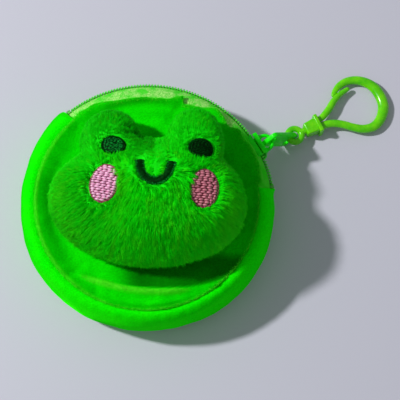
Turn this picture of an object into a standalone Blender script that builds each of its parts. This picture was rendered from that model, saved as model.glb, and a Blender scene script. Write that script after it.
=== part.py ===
"""Plush coin purse: a round velour pouch with a stuffed frog head, a curved zip and a plastic clip.

The purse lies on its back. The origin is the centre of the back panel, on the table.
+X points at the clip's side, +Y at the top of the frog's head, +Z away from the table.
"""

import bmesh
import bpy
from math import asin, atan2, cos, degrees, exp, pi, radians, sin
from mathutils.geometry import interpolate_bezier
from mathutils import Matrix, Vector

MM = 0.001
SEAM_GAP = 0.3 * MM

# Pouch
PANEL_RADIUS = 46.2 * MM
PANEL_THICKNESS = 1.2 * MM
POUCH_DEPTH = 25.4 * MM
FRONT_CROWN = 2.8 * MM
BACK_EDGE_WIDTH = 2.7 * MM
BACK_EDGE_LIFT = 0.5 * MM
GUSSET_PAST_ZIP = 0.6 * MM
GUSSET_FOOT_FLATTENING = 1.3 * MM
GUSSET_END_SWELL = 2.4 * MM
GUSSET_SWELL_SPREAD = radians(24.0)
GUSSET_SEGMENTS = 44
GUSSET_ROWS = 10
GUSSET_LINING_ROWS = 6
GUSSET_THICKNESS = 1.2 * MM
SEAM_SETBACK = 0.1 * MM
BACK_SEAM_SETBACK = 0.2 * MM
LINING_THICKNESS = 0.4 * MM
LINING_INSET = 1.4 * MM

# Zip, as angles about the pouch's centre
ZIP_START = radians(7.0)
ZIP_END = radians(131.0)
COIL_RADIUS = 52.2 * MM
COIL_HEIGHT = 17.0 * MM
COIL_WIRE = 0.8 * MM
COIL_MESHED = 0.95 * MM
COIL_PARTED = 1.95 * MM
TAPE_THICKNESS = 0.6 * MM
TAPE_SEAM_SETBACK = 0.2 * MM
TAPE_SEGMENTS = 40
COIL_SEGMENTS = 48
STOP_LENGTH = 1.6 * MM
STOP_SIZE = 3.2 * MM
STOP_THICKNESS = 1.0 * MM
STOP_EDGE = 0.2 * MM

# Slider and its bail
SLIDER_ANGLE = radians(29.0)
SLIDER_LENGTH = 10.0 * MM
SLIDER_FRONT_WIDTH = 9.2 * MM
SLIDER_BACK_WIDTH = 7.4 * MM
SLIDER_OUTER_PLATE = 1.0 * MM
SLIDER_INNER_PLATE = 1.5 * MM
SLIDER_RUN = 0.5 * MM
SLIDER_EDGE = 0.55 * MM
SLOT_REACH = 9.0 * MM
POST_RADIUS = 0.8 * MM
POST_SETBACK = 3.2 * MM
BAIL_REACH = 6.9 * MM
BAIL_WIRE = 0.75 * MM
BAIL_SPAN = 6.6 * MM

# Puller
PULLER_LENGTH = 21.4 * MM
PULLER_WIDTH = 8.2 * MM
PULLER_THICKNESS = 2.0 * MM
PULLER_CORNER = 1.8 * MM
PULLER_EDGE = 0.25 * MM
PULLER_SLOPE = radians(55.0)
BAIL_HOLE_MARGIN = 2.8 * MM
BAIL_HOLE_LENGTH = 3.0 * MM
BAIL_HOLE_WIDTH = 4.2 * MM
RING_HOLE_MARGIN = 3.6 * MM
RING_HOLE_LENGTH = 4.0 * MM
RING_HOLE_WIDTH = 4.6 * MM
RING_OFFSET_ACROSS = 0.6 * MM
RING_OFFSET_ALONG = 0.45 * MM

# Clip: its own x runs along it from the ring's centre, y across the loop
CLIP_YAW = radians(26.2)
RING_RADIUS = 3.0 * MM
RING_WIRE = 1.1 * MM
STEM_RADIUS = 1.5 * MM
STEM_HEAD_RADIUS = 2.2 * MM
STEM_HEAD_LENGTH = 1.4 * MM
STEM_RUN = 0.35 * MM
COLLAR_START = 5.6 * MM
COLLAR_LENGTH = 6.4 * MM
COLLAR_WIDTH = 6.6 * MM
COLLAR_HEIGHT = 5.8 * MM
COLLAR_EDGE = 0.9 * MM
FLANGE_LENGTH = 1.8 * MM
FLANGE_WIDTH = 8.2 * MM
FLANGE_HEIGHT = 7.2 * MM
FLANGE_EDGE = 0.5 * MM
COLLAR_SETBACK = 0.2 * MM
COLLAR_WALL = 1.0 * MM
LOOP_LIFT = 0.05 * MM
LOOP_CENTRE = 31.1 * MM
LOOP_OFFSET = 0.7 * MM
LOOP_RADIUS = 11.4 * MM
LOOP_ROD_THICK = 2.4 * MM
LOOP_ROD_THIN = 1.7 * MM
ROD_FLATNESS = 0.8125
ARM_ROOT_ROD = 1.45 * MM
ARM_ROOT_DEPTH = 2.0 * MM
ARM_ROOT_OFFSET = 1.5 * MM
ARM_LEAD = 7.5 * MM
ARM_RISE = 1.9 * MM
ARM_TRAIL = 7.5 * MM
ARM_JOIN_ANGLE = radians(-128.0)
NOSE_ANGLE = radians(113.0)
NOSE_ROD = 1.05 * MM
GATE_ROD = 1.5 * MM
GATE_TIP_ROD = 1.0 * MM
GATE_ROOT_OFFSET = 2.0 * MM
GATE_HINGE_RUN = 1.4 * MM
GATE_LEAD = 6.0 * MM
GATE_RISE = 0.9 * MM
GATE_TIP_ANGLE = radians(101.0)
GATE_TIP_INSET = 2.9 * MM
GATE_TRAIL = 7.4 * MM
GATE_TRAIL_DROP = 0.7 * MM

# Stuffed head
HEAD_X = 1.3 * MM
HEAD_Y = -3.8 * MM
HEAD_TURN = radians(-3.1)
HEAD_HALF_WIDTH = 39.5 * MM
HEAD_HALF_LENGTH = 26.9 * MM
HEAD_RISE = 17.5 * MM
HEAD_MIDDLE = 5.0 * MM
HEAD_SQUARENESS = 2.05
EYE_BUMP_SPREAD = 17.4 * MM
EYE_BUMP_FORWARD = 23.4 * MM
EYE_BUMP_HEIGHT = 2.8 * MM
EYE_BUMP_HALF_WIDTH = 11.6 * MM
EYE_BUMP_HALF_LENGTH = 14.6 * MM
EYE_BUMP_RISE = 11.8 * MM
EYE_BUMP_BLEND = 6.4
PLUSH_THICKNESS = 1.8 * MM
SKIN_SEGMENTS = 60
STUFFING_SEGMENTS = 36

# Embroidery, from the head's middle
FACE_X = 2.4 * MM
THREAD_THICKNESS = 0.9 * MM
EYE_SPACING = 34.6 * MM
EYE_Y = 19.0 * MM
EYE_SIZE = (10.2 * MM, 8.2 * MM)
CHEEK_SPACING = 39.1 * MM
CHEEK_Y = 2.5 * MM
CHEEK_SIZE = (11.4 * MM, 15.8 * MM)
CHEEK_TILT = radians(-9.0)
SMILE_Y = 13.0 * MM
SMILE_WIDTH = 13.5 * MM
SMILE_DEPTH = 8.6 * MM
SMILE_STROKE = 1.4 * MM

VELOUR_GREEN = (0.02, 0.62, 0.02)
FUR_GREEN = (0.04, 0.38, 0.02)
TAPE_GREEN = (0.22, 0.85, 0.15)
COIL_GREEN = (0.10, 0.62, 0.08)
SLIDER_GREEN = (0.05, 0.55, 0.03)
PLASTIC_LIME = (0.16, 0.70, 0.01)
LINING_GREEN = (0.05, 0.40, 0.05)
THREAD_DARK_GREEN = (0.0, 0.09, 0.02)
THREAD_PINK = (0.85, 0.33, 0.50)
FIBRE_WHITE = (0.85, 0.85, 0.82)


def clear_scene():
    for item in list(bpy.data.objects):
        bpy.data.objects.remove(item, do_unlink=True)


def new_collection(name):
    group = bpy.data.collections.new(name)
    bpy.context.scene.collection.children.link(group)
    return group


def make_material(name, colour, roughness):
    """A dielectric finish: cloth, nylon, plastic, and lacquer over the slider's metal."""
    made = bpy.data.materials.new(name)
    made.use_nodes = True
    shader = made.node_tree.nodes["Principled BSDF"]
    shader.inputs["Base Color"].default_value = (*colour, 1.0)
    shader.inputs["Roughness"].default_value = roughness
    shader.inputs["Metallic"].default_value = 0.0
    return made


def make_object(name, data, colour=None, roughness=0.6, group=None):
    """Puts data in the purse's collection, with its own material."""
    item = bpy.data.objects.new(name, data)
    (group or PURSE).objects.link(item)
    if colour:
        data.materials.append(make_material(name + "_finish", colour, roughness))
    return item


def mesh_from(shape, name, smooth=True):
    mesh = bpy.data.meshes.new(name)
    shape.to_mesh(mesh)
    shape.free()
    if smooth:
        mesh.shade_smooth()
        mesh.set_sharp_from_angle(angle=radians(40))
    return mesh


def turned(name, profile, colour, steps=64):
    """A solid turned about Z from (radius, height) points that run down its outer side."""
    mesh = bpy.data.meshes.new(name)
    edges = [(i, i + 1) for i in range(len(profile) - 1)]
    mesh.from_pydata([(radius, 0, height) for radius, height in profile], edges, [])
    item = make_object(name, mesh, colour, 0.8)
    screw = item.modifiers.new("Turn", "SCREW")
    screw.steps = steps
    screw.render_steps = steps
    screw.use_merge_vertices = True
    screw.merge_threshold = 0.01 * MM
    screw.use_smooth_shade = True
    return item


def mapped_sheet(name, place, across, along, thickness, colour):
    """A sheet of across x along squares, put at place(u, v), with its thickness on the inside."""
    shape = bmesh.new()
    bmesh.ops.create_grid(shape, x_segments=across, y_segments=along, size=0.5)
    for vertex in shape.verts:
        vertex.co = place(vertex.co.x + 0.5, vertex.co.y + 0.5)
    item = make_object(name, mesh_from(shape, name), colour, 0.8)
    wall = item.modifiers.new("Thickness", "SOLIDIFY")
    wall.thickness = thickness
    wall.offset = -1.0
    wall.use_even_offset = True
    return item


def poly_tube(name, points, radii, colour=None, sides=2, group=None):
    """A closed tube on straight runs between points, with a radius at each point."""
    curve = bpy.data.curves.new(name, "CURVE")
    curve.dimensions = "3D"
    curve.bevel_depth = 1.0
    curve.bevel_resolution = sides
    curve.use_fill_caps = True
    spline = curve.splines.new("POLY")
    spline.points.add(len(points) - 1)
    for knot, point, radius in zip(spline.points, points, radii):
        knot.co = (*point, 1.0)
        knot.radius = radius
    return make_object(name, curve, colour, 0.4, group)


def tube_to_mesh(item, name, group, colour=None, roughness=0.35):
    """The tube as a welded mesh object, which Booleans can use."""
    evaluated = item.evaluated_get(bpy.context.evaluated_depsgraph_get())
    mesh = bpy.data.meshes.new_from_object(evaluated)
    shape = bmesh.new()
    shape.from_mesh(mesh)
    bmesh.ops.remove_doubles(shape, verts=shape.verts, dist=0.001 * MM)
    bmesh.ops.recalc_face_normals(shape, faces=shape.faces)
    shape.to_mesh(mesh)
    shape.free()
    mesh.materials.clear()
    made = bpy.data.objects.new(name, mesh)
    group.objects.link(made)
    made.matrix_world = item.matrix_world
    bpy.data.objects.remove(item, do_unlink=True)
    if colour:
        mesh.materials.append(make_material(name + "_finish", colour, roughness))
    mesh.shade_smooth()
    mesh.set_sharp_from_angle(angle=radians(40))
    return made


def as_cutter(item):
    item.hide_render = True
    item.display_type = "WIRE"
    return item


def round_edges(shape, edges, width, segments):
    bmesh.ops.bevel(shape, geom=edges, offset=width, segments=segments, profile=0.5, affect="EDGES")


def box_mesh(name, low, high, bevel=0.0, segments=2):
    """A box between two corners, with rounded edges."""
    shape = bmesh.new()
    bmesh.ops.create_cube(shape, size=1.0)
    low = Vector(low)
    high = Vector(high)
    for vertex in shape.verts:
        vertex.co = Vector(low[i] + (vertex.co[i] + 0.5) * (high[i] - low[i]) for i in range(3))
    if bevel:
        round_edges(shape, list(shape.edges), bevel, segments)
    return mesh_from(shape, name)


def cylinder_x_mesh(name, start, end, radius, sides=16):
    """A cylinder along X."""
    shape = bmesh.new()
    depth = end - start
    bmesh.ops.create_cone(shape, cap_ends=True, segments=sides, radius1=radius, radius2=radius, depth=depth)
    bmesh.ops.rotate(shape, verts=shape.verts, matrix=Matrix.Rotation(pi / 2, 3, "Y"))
    bmesh.ops.translate(shape, verts=shape.verts, vec=((start + end) / 2, 0, 0))
    return mesh_from(shape, name)


def add_boolean(item, tool, operation):
    cut = item.modifiers.new(operation.title(), "BOOLEAN")
    cut.operation = operation
    cut.solver = "EXACT"
    cut.object = tool


def helper_object(name, mesh, matrix=None):
    """A cutter or a shape that a Boolean adds."""
    item = as_cutter(make_object(name, mesh, group=CUTTERS))
    if matrix:
        item.matrix_world = matrix
    return item


def polar(radius, angle, height):
    return Vector((radius * cos(angle), radius * sin(angle), height))


def smooth_step(value, start, end):
    t = min(1.0, max(0.0, (value - start) / (end - start)))
    return t * t * (3 - 2 * t)


# Pouch

RIM_RADIUS = PANEL_RADIUS + SEAM_GAP + SEAM_SETBACK
BACK_FLAT_RADIUS = PANEL_RADIUS - BACK_EDGE_WIDTH
GUSSET_BULGE = COIL_RADIUS + GUSSET_PAST_ZIP - RIM_RADIUS
RIM_TOP = POUCH_DEPTH
RIM_BOTTOM = BACK_EDGE_LIFT + BACK_SEAM_SETBACK


def front_surface(radius):
    """Height of the front panel's outer face."""
    share = min(radius / PANEL_RADIUS, 1.0)
    return POUCH_DEPTH + FRONT_CROWN * (1 - share ** 2.6)


def back_surface(radius):
    """Height of the back panel's outer face: flat, with a lifted edge."""
    share = smooth_step(radius, BACK_FLAT_RADIUS, PANEL_RADIUS)
    return BACK_EDGE_LIFT * share


def disc_profile(upper, lower, radius, rings):
    """(radius, height) points of a disc between two surfaces, down its outer side."""
    radii = [radius * (i / rings) for i in range(rings + 1)]
    return [(r, upper(r)) for r in radii] + [(r, lower(r)) for r in reversed(radii)]


def make_panels():
    rings = 6
    turned(
        "front_panel",
        disc_profile(front_surface, lambda r: front_surface(r) - PANEL_THICKNESS, PANEL_RADIUS, rings),
        VELOUR_GREEN,
    )
    flat_then_edge = [0, BACK_FLAT_RADIUS, (BACK_FLAT_RADIUS + PANEL_RADIUS) / 2, PANEL_RADIUS]
    turned(
        "back_panel",
        [(r, back_surface(r) + PANEL_THICKNESS) for r in flat_then_edge]
        + [(r, back_surface(r)) for r in reversed(flat_then_edge)],
        VELOUR_GREEN,
    )


def make_panel_linings():
    radius = PANEL_RADIUS - LINING_INSET

    def front_top(r):
        return front_surface(r) - PANEL_THICKNESS - SEAM_GAP

    def back_top(r):
        return back_surface(r) + PANEL_THICKNESS + SEAM_GAP + LINING_THICKNESS

    turned(
        "lining_front",
        disc_profile(front_top, lambda r: front_top(r) - LINING_THICKNESS, radius, 5),
        LINING_GREEN,
        48,
    )
    turned(
        "lining_back",
        [(r, back_top(r)) for r in (0, BACK_FLAT_RADIUS, radius)]
        + [(r, back_top(r) - LINING_THICKNESS) for r in (radius, BACK_FLAT_RADIUS, 0)],
        LINING_GREEN,
        48,
    )


def gusset_bulge(angle):
    """How far the gusset swells past its seams: less at the foot, more at the zip's left end."""
    foot = max(0.0, -sin(angle)) ** 4
    end = exp(-(((angle - ZIP_END) / GUSSET_SWELL_SPREAD) ** 2))
    return GUSSET_BULGE - GUSSET_FOOT_FLATTENING * foot + GUSSET_END_SWELL * end


def gusset_point(angle, share, inset=0.0):
    """Point of the gusset's outer face, share 0 at the front seam and 1 at the back seam."""
    turn = pi * share
    middle = (RIM_TOP + RIM_BOTTOM) / 2
    half = (RIM_TOP - RIM_BOTTOM) / 2 - inset
    radius = RIM_RADIUS + (gusset_bulge(angle) - inset) * sin(turn) ** 0.85
    return polar(radius, angle, middle + half * cos(turn))


def gusset_sweep(u):
    """Angle of the gusset's run, round the lower side from the zip's left end to its right end."""
    return ZIP_END + u * (2 * pi - (ZIP_END - ZIP_START))


def make_gusset():
    mapped_sheet(
        "gusset",
        lambda u, v: gusset_point(gusset_sweep(u), 1 - v),
        GUSSET_SEGMENTS,
        GUSSET_ROWS,
        GUSSET_THICKNESS,
        VELOUR_GREEN,
    )
    inset = GUSSET_THICKNESS + SEAM_GAP

    def lining_place(u, v):
        share = 0.1 + 0.8 * (1 - v)
        return gusset_point(gusset_sweep(u), share, inset)

    rows = GUSSET_LINING_ROWS
    mapped_sheet("lining_gusset", lining_place, GUSSET_SEGMENTS, rows, LINING_THICKNESS, LINING_GREEN)


# Zip

ZIP_END_GAP = SEAM_GAP / PANEL_RADIUS
TAPE_SEAM_RADIUS = PANEL_RADIUS + SEAM_GAP + 1.1 * TAPE_THICKNESS


def coil_parting(angle):
    """Half the distance between the two coils: meshed behind the slider, parted in front of it."""
    half_slider = SLIDER_LENGTH / 2 / COIL_RADIUS
    opened = 1 - smooth_step(angle, SLIDER_ANGLE - 0.4 * half_slider, SLIDER_ANGLE + 0.3 * half_slider)
    stop_end = ZIP_START + 2 * ZIP_END_GAP + STOP_LENGTH / COIL_RADIUS
    sewn = smooth_step(angle, stop_end, stop_end + 0.5 * half_slider)
    return COIL_MESHED + (COIL_PARTED - COIL_MESHED) * min(opened, sewn)


def coil_point(angle, side):
    """Centre of a coil, side +1 for the front's and -1 for the back's."""
    return polar(COIL_RADIUS, angle, COIL_HEIGHT + side * coil_parting(angle))


def tape_edges(angle, side):
    """The tape's sewn edge and its edge at the coil."""
    seam_height = RIM_TOP - TAPE_SEAM_SETBACK if side > 0 else RIM_BOTTOM + TAPE_SEAM_SETBACK
    seam = polar(TAPE_SEAM_RADIUS, angle, seam_height)
    coil = coil_point(angle, side)
    clear = COIL_WIRE + SEAM_GAP + 0.05 * MM
    return seam, coil + (seam - coil).normalized() * clear


def make_zip_half(label, side):
    low = ZIP_START + ZIP_END_GAP
    high = ZIP_END - ZIP_END_GAP

    def tape_place(u, v):
        angle = low + u * (high - low)
        seam, edge = tape_edges(angle, side)
        share = v if side < 0 else 1 - v
        return seam.lerp(edge, share)

    mapped_sheet("zip_tape_" + label, tape_place, TAPE_SEGMENTS, 2, TAPE_THICKNESS, TAPE_GREEN)
    stop = STOP_LENGTH / COIL_RADIUS + ZIP_END_GAP
    angles = [low + stop + (high - low - 2 * stop) * i / COIL_SEGMENTS for i in range(COIL_SEGMENTS + 1)]
    points = [coil_point(angle, side) for angle in angles]
    poly_tube("zip_coil_" + label, points, [COIL_WIRE] * len(points), COIL_GREEN, 1)


def make_zip_stops():
    """The sewn bars that hold the two coils together at each end of the zip."""
    half_arc = STOP_LENGTH / 2 / COIL_RADIUS
    centres = {
        "zip_stop_right": ZIP_START + ZIP_END_GAP + half_arc,
        "zip_stop_left": ZIP_END - ZIP_END_GAP - half_arc,
    }
    for name, angle in centres.items():
        half = STOP_SIZE / 2
        mesh = box_mesh(
            name,
            (COIL_RADIUS - STOP_THICKNESS / 2, -STOP_LENGTH / 2 + SEAM_GAP / 2, COIL_HEIGHT - half),
            (COIL_RADIUS + STOP_THICKNESS / 2, STOP_LENGTH / 2 - SEAM_GAP / 2, COIL_HEIGHT + half),
            STOP_EDGE,
            1,
        )
        stop = make_object(name, mesh, TAPE_GREEN, 0.8)
        stop.rotation_euler = (0, 0, angle)


# Slider: x is the distance from the pouch's axis, y the way it runs, z across the coils

SLIDER_INNER_FACE = COIL_RADIUS - COIL_WIRE - SLIDER_RUN - SLIDER_INNER_PLATE
SLIDER_OUTER_FACE = COIL_RADIUS + COIL_WIRE + SLIDER_RUN + SLIDER_OUTER_PLATE
BAIL_RADIUS = COIL_RADIUS + BAIL_REACH


def slider_turn():
    return Matrix.Rotation(SLIDER_ANGLE, 4, "Z")


def slider_block():
    """The slider's outside: a block that narrows behind the post."""
    shape = bmesh.new()
    bmesh.ops.create_cube(shape, size=1.0)
    for vertex in shape.verts:
        front = vertex.co.y < 0
        half = (SLIDER_FRONT_WIDTH if front else SLIDER_BACK_WIDTH) / 2
        outer = SLIDER_OUTER_FACE if vertex.co.x > 0 else SLIDER_INNER_FACE
        vertex.co = (outer, vertex.co.y * SLIDER_LENGTH, COIL_HEIGHT + 2 * vertex.co.z * half)
    round_edges(shape, list(shape.edges), SLIDER_EDGE, 2)
    return mesh_from(shape, "slider_body")


def tape_slot(side, parting):
    """A slot along the tape, from the coil's channel out through the slider's side."""
    coil = Vector((COIL_RADIUS, 0, COIL_HEIGHT + side * parting))
    seam_height = RIM_TOP if side > 0 else RIM_BOTTOM
    direction = (Vector((TAPE_SEAM_RADIUS, 0, seam_height)) - coil).normalized()
    half = TAPE_THICKNESS / 2 + SLIDER_RUN
    mesh = box_mesh("slot", (0, -SLIDER_LENGTH, -half), (SLOT_REACH, SLIDER_LENGTH, half))
    tilt = atan2(direction.z, -direction.x)
    normal = Vector((-abs(direction.z), 0, direction.x * side))
    start = coil + normal * TAPE_THICKNESS / 2
    matrix = Matrix.Translation(start) @ Matrix.Rotation(pi + tilt, 4, "Y")
    return mesh, matrix


def make_slider():
    body = make_object("slider_body", slider_block(), SLIDER_GREEN, 0.3)
    body.matrix_world = slider_turn()
    channels = {
        "meshed": (COIL_MESHED, 0.0, SLIDER_LENGTH),
        "parted": (COIL_PARTED, -SLIDER_LENGTH, 0.1 * SLIDER_LENGTH),
    }
    reach = COIL_WIRE + SLIDER_RUN
    for label, (parting, near, far) in channels.items():
        half = parting + reach
        channel = box_mesh(
            "channel",
            (COIL_RADIUS - reach, near, COIL_HEIGHT - half),
            (COIL_RADIUS + reach, far, COIL_HEIGHT + half),
        )
        add_boolean(body, helper_object("channel_" + label, channel, slider_turn()), "DIFFERENCE")
        for side, side_name in ((1, "front"), (-1, "back")):
            mesh, matrix = tape_slot(side, parting)
            slot = helper_object(f"slot_{label}_{side_name}", mesh, slider_turn() @ matrix)
            add_boolean(body, slot, "DIFFERENCE")
    sunk = SLIDER_OUTER_PLATE / 3
    post = cylinder_x_mesh("post", SLIDER_INNER_FACE + sunk, SLIDER_OUTER_FACE - sunk, POST_RADIUS, 12)
    post_place = slider_turn() @ Matrix.Translation((0, -POST_SETBACK, COIL_HEIGHT))
    add_boolean(body, helper_object("post", post, post_place), "UNION")

    foot = SLIDER_OUTER_FACE + SEAM_GAP
    half = BAIL_SPAN / 2
    shoulder = foot + 0.55 * (BAIL_RADIUS - foot)
    crown = BAIL_RADIUS - 0.4 * BAIL_WIRE
    arch = [(foot, -half), (shoulder, -half * 0.97), (crown, -half * 0.75), (BAIL_RADIUS, -half * 0.4)]
    arch += [(x, -y) for x, y in reversed(arch)]
    bail = poly_tube(
        "slider_bail",
        [(x, y, COIL_HEIGHT) for x, y in arch],
        [BAIL_WIRE] * len(arch),
        SLIDER_GREEN,
        1,
    )
    bail.matrix_world = slider_turn()


# Puller: x runs down the plate from the bail, y across it, z through it

OUTWARD = polar(1.0, SLIDER_ANGLE, 0.0)
SIDEWAYS = Vector((sin(SLIDER_ANGLE), -cos(SLIDER_ANGLE), 0))
PULLER_DOWN = OUTWARD * cos(PULLER_SLOPE) - Vector((0, 0, sin(PULLER_SLOPE)))
PULLER_ACROSS = OUTWARD * sin(PULLER_SLOPE) + Vector((0, 0, cos(PULLER_SLOPE)))
BAIL_POINT = polar(BAIL_RADIUS, SLIDER_ANGLE, COIL_HEIGHT)
HOLE_SPACING = PULLER_LENGTH - BAIL_HOLE_MARGIN - RING_HOLE_MARGIN
RING_HOLE_POINT = BAIL_POINT + PULLER_DOWN * HOLE_SPACING
RING_POINT = RING_HOLE_POINT + PULLER_ACROSS * RING_OFFSET_ACROSS + PULLER_DOWN * RING_OFFSET_ALONG


def frame_matrix(origin, along, across):
    through = along.cross(across)
    columns = Matrix((along, across, through)).transposed()
    return Matrix.Translation(origin) @ columns.to_4x4()


def make_puller():
    half = PULLER_THICKNESS / 2
    shape = bmesh.new()
    bmesh.ops.create_cube(shape, size=1.0)
    start = -BAIL_HOLE_MARGIN
    for vertex in shape.verts:
        vertex.co.x = start + (vertex.co.x + 0.5) * PULLER_LENGTH
        vertex.co.y *= PULLER_WIDTH
        vertex.co.z *= PULLER_THICKNESS
    corners = [edge for edge in shape.edges if abs(edge.verts[0].co.z - edge.verts[1].co.z) > half]
    round_edges(shape, corners, PULLER_CORNER, 4)
    rims = [edge for edge in shape.edges if abs(edge.verts[0].co.z - edge.verts[1].co.z) < 0.1 * half]
    round_edges(shape, rims, PULLER_EDGE, 1)
    puller = make_object("puller_tab", mesh_from(shape, "puller_tab"), SLIDER_GREEN, 0.35)
    place = frame_matrix(BAIL_POINT, PULLER_DOWN, PULLER_ACROSS)
    puller.matrix_world = place
    holes = {
        "bail_hole": (0.0, BAIL_HOLE_LENGTH, BAIL_HOLE_WIDTH),
        "ring_hole": (HOLE_SPACING, RING_HOLE_LENGTH, RING_HOLE_WIDTH),
    }
    for name, (centre, length, width) in holes.items():
        hole = box_mesh(
            name,
            (centre - length / 2, -width / 2, -PULLER_THICKNESS),
            (centre + length / 2, width / 2, PULLER_THICKNESS),
        )
        add_boolean(puller, helper_object(name, hole, place), "DIFFERENCE")


# Clip

RING_CENTRE = RING_POINT + OUTWARD * RING_RADIUS
CLIP_REACH = LOOP_CENTRE + LOOP_RADIUS
CLIP_TILT = asin((RING_CENTRE.z - LOOP_ROD_THICK * ROD_FLATNESS - LOOP_LIFT) / CLIP_REACH)
CLIP_ALONG = polar(cos(CLIP_TILT), CLIP_YAW, -sin(CLIP_TILT))
CLIP_ACROSS = Vector((-sin(CLIP_YAW), cos(CLIP_YAW), 0))
COLLAR_END = COLLAR_START + COLLAR_LENGTH
GATE_ROOT = Vector((COLLAR_END + GATE_HINGE_RUN, GATE_ROOT_OFFSET, 0))


def clip_matrix():
    return frame_matrix(RING_CENTRE, CLIP_ALONG, CLIP_ACROSS)


def flattened(matrix):
    """The rods are moulded a little flatter than round."""
    return matrix @ Matrix.Diagonal((1, 1, ROD_FLATNESS, 1))


def loop_point(turn, inset=0.0):
    centre = Vector((LOOP_CENTRE, LOOP_OFFSET, 0))
    return centre + Vector((cos(turn), sin(turn), 0)) * (LOOP_RADIUS - inset)


def make_swivel_eye():
    """The ring and its stem, whose head turns in the collar."""
    shape = bmesh.new()
    ring_segments = 20
    section_segments = 8
    rows = []
    for i in range(ring_segments):
        turn = 2 * pi * i / ring_segments
        row = []
        for k in range(section_segments):
            roll = 2 * pi * k / section_segments
            radius = RING_RADIUS + RING_WIRE * cos(roll)
            row.append(shape.verts.new((radius * cos(turn), radius * sin(turn), RING_WIRE * sin(roll))))
        rows.append(row)
    for i in range(ring_segments):
        here = rows[i]
        ahead = rows[(i + 1) % ring_segments]
        for k in range(section_segments):
            m = (k + 1) % section_segments
            shape.faces.new((here[k], ahead[k], ahead[m], here[m]))
    bmesh.ops.recalc_face_normals(shape, faces=shape.faces)
    eye = make_object("swivel_eye", mesh_from(shape, "swivel_eye"), PLASTIC_LIME, 0.3)
    eye.matrix_world = clip_matrix()
    head_start = COLLAR_START + COLLAR_WALL + STEM_RUN
    stem = cylinder_x_mesh("stem", RING_RADIUS, head_start + STEM_HEAD_LENGTH / 2, STEM_RADIUS)
    add_boolean(eye, helper_object("stem", stem, clip_matrix()), "UNION")
    head = cylinder_x_mesh("stem_head", head_start, head_start + STEM_HEAD_LENGTH, STEM_HEAD_RADIUS)
    add_boolean(eye, helper_object("stem_head", head, clip_matrix()), "UNION")


def loop_path():
    """Centre line of the hook's rod in the clip's plane, from the collar round to the nose."""
    start = Vector((COLLAR_END - ARM_ROOT_DEPTH, -ARM_ROOT_OFFSET, 0))
    join = loop_point(ARM_JOIN_ANGLE)
    heading = Vector((-sin(ARM_JOIN_ANGLE), cos(ARM_JOIN_ANGLE), 0))
    lead = start + Vector((ARM_LEAD, ARM_RISE, 0))
    arm_steps = 8
    points = interpolate_bezier(start, lead, join - heading * ARM_TRAIL, join, arm_steps + 1)[:-1]
    growth = LOOP_ROD_THIN - ARM_ROOT_ROD
    radii = [ARM_ROOT_ROD + growth * min(1.0, 2 * i / arm_steps) for i in range(arm_steps)]
    steps = 24
    for i in range(steps + 1):
        turn = ARM_JOIN_ANGLE + (NOSE_ANGLE - ARM_JOIN_ANGLE) * i / steps
        points.append(loop_point(turn))
        if turn < 0:
            radii.append(LOOP_ROD_THICK - (LOOP_ROD_THICK - LOOP_ROD_THIN) * (turn / ARM_JOIN_ANGLE) ** 1.3)
        else:
            radii.append(LOOP_ROD_THICK - (LOOP_ROD_THICK - NOSE_ROD) * (turn / NOSE_ANGLE) ** 1.6)
    return points, radii


def make_hook():
    points, radii = loop_path()
    rod = poly_tube("hook_rod", points, radii, sides=2, group=CUTTERS)
    rod.matrix_world = flattened(clip_matrix())
    bpy.context.view_layer.update()
    hook = tube_to_mesh(rod, "hook_body", PURSE, PLASTIC_LIME)
    collar = box_mesh(
        "collar",
        (COLLAR_START, -COLLAR_WIDTH / 2, -COLLAR_HEIGHT / 2),
        (COLLAR_END - COLLAR_SETBACK, COLLAR_WIDTH / 2, COLLAR_HEIGHT / 2),
        COLLAR_EDGE,
    )
    add_boolean(hook, helper_object("collar", collar, clip_matrix()), "UNION")
    flange = box_mesh(
        "flange",
        (COLLAR_END - FLANGE_LENGTH, -FLANGE_WIDTH / 2, -FLANGE_HEIGHT / 2),
        (COLLAR_END, FLANGE_WIDTH / 2, FLANGE_HEIGHT / 2),
        FLANGE_EDGE,
    )
    add_boolean(hook, helper_object("flange", flange, clip_matrix()), "UNION")
    bore_end = COLLAR_START + 1.5 * COLLAR_WALL
    bore = cylinder_x_mesh("bore", COLLAR_START - COLLAR_WALL, bore_end, STEM_RADIUS + STEM_RUN)
    add_boolean(hook, helper_object("bore", bore, clip_matrix()), "DIFFERENCE")
    pocket_start = COLLAR_START + COLLAR_WALL
    pocket_end = pocket_start + STEM_HEAD_LENGTH + 2 * STEM_RUN
    pocket = cylinder_x_mesh("pocket", pocket_start, pocket_end, STEM_HEAD_RADIUS + STEM_RUN)
    add_boolean(hook, helper_object("pocket", pocket, clip_matrix()), "DIFFERENCE")


def make_gate():
    """The springy tongue that closes the hook, inside its nose."""
    tip = loop_point(GATE_TIP_ANGLE, GATE_TIP_INSET) - GATE_ROOT
    lead = Vector((GATE_LEAD, GATE_RISE, 0))
    trail = tip - Vector((GATE_TRAIL, GATE_TRAIL_DROP, 0))
    steps = 12
    points = interpolate_bezier(Vector((0, 0, 0)), lead, trail, tip, steps + 1)
    radii = [GATE_ROD - (GATE_ROD - GATE_TIP_ROD) * max(0.0, 2 * i / steps - 1) for i in range(steps + 1)]
    gate = poly_tube("hook_gate", points, radii, PLASTIC_LIME, 2)
    gate.matrix_world = flattened(clip_matrix() @ Matrix.Translation(GATE_ROOT))


# Head: a swelling body with two eye bumps, in its own frame (x across the face, y to its top)

HEAD_BASE = POUCH_DEPTH + FRONT_CROWN + SEAM_GAP
HEAD_CENTRE = Vector((HEAD_X, HEAD_Y, HEAD_BASE + HEAD_MIDDLE))


def head_matrix():
    return Matrix.Translation(HEAD_CENTRE) @ Matrix.Rotation(HEAD_TURN, 4, "Z")


def lobe_reach(point, sizes, squareness):
    """1 on a lobe's skin, less inside it."""
    return sum(abs(point[i] / sizes[i]) ** squareness for i in range(3)) ** (1 / squareness)


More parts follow.
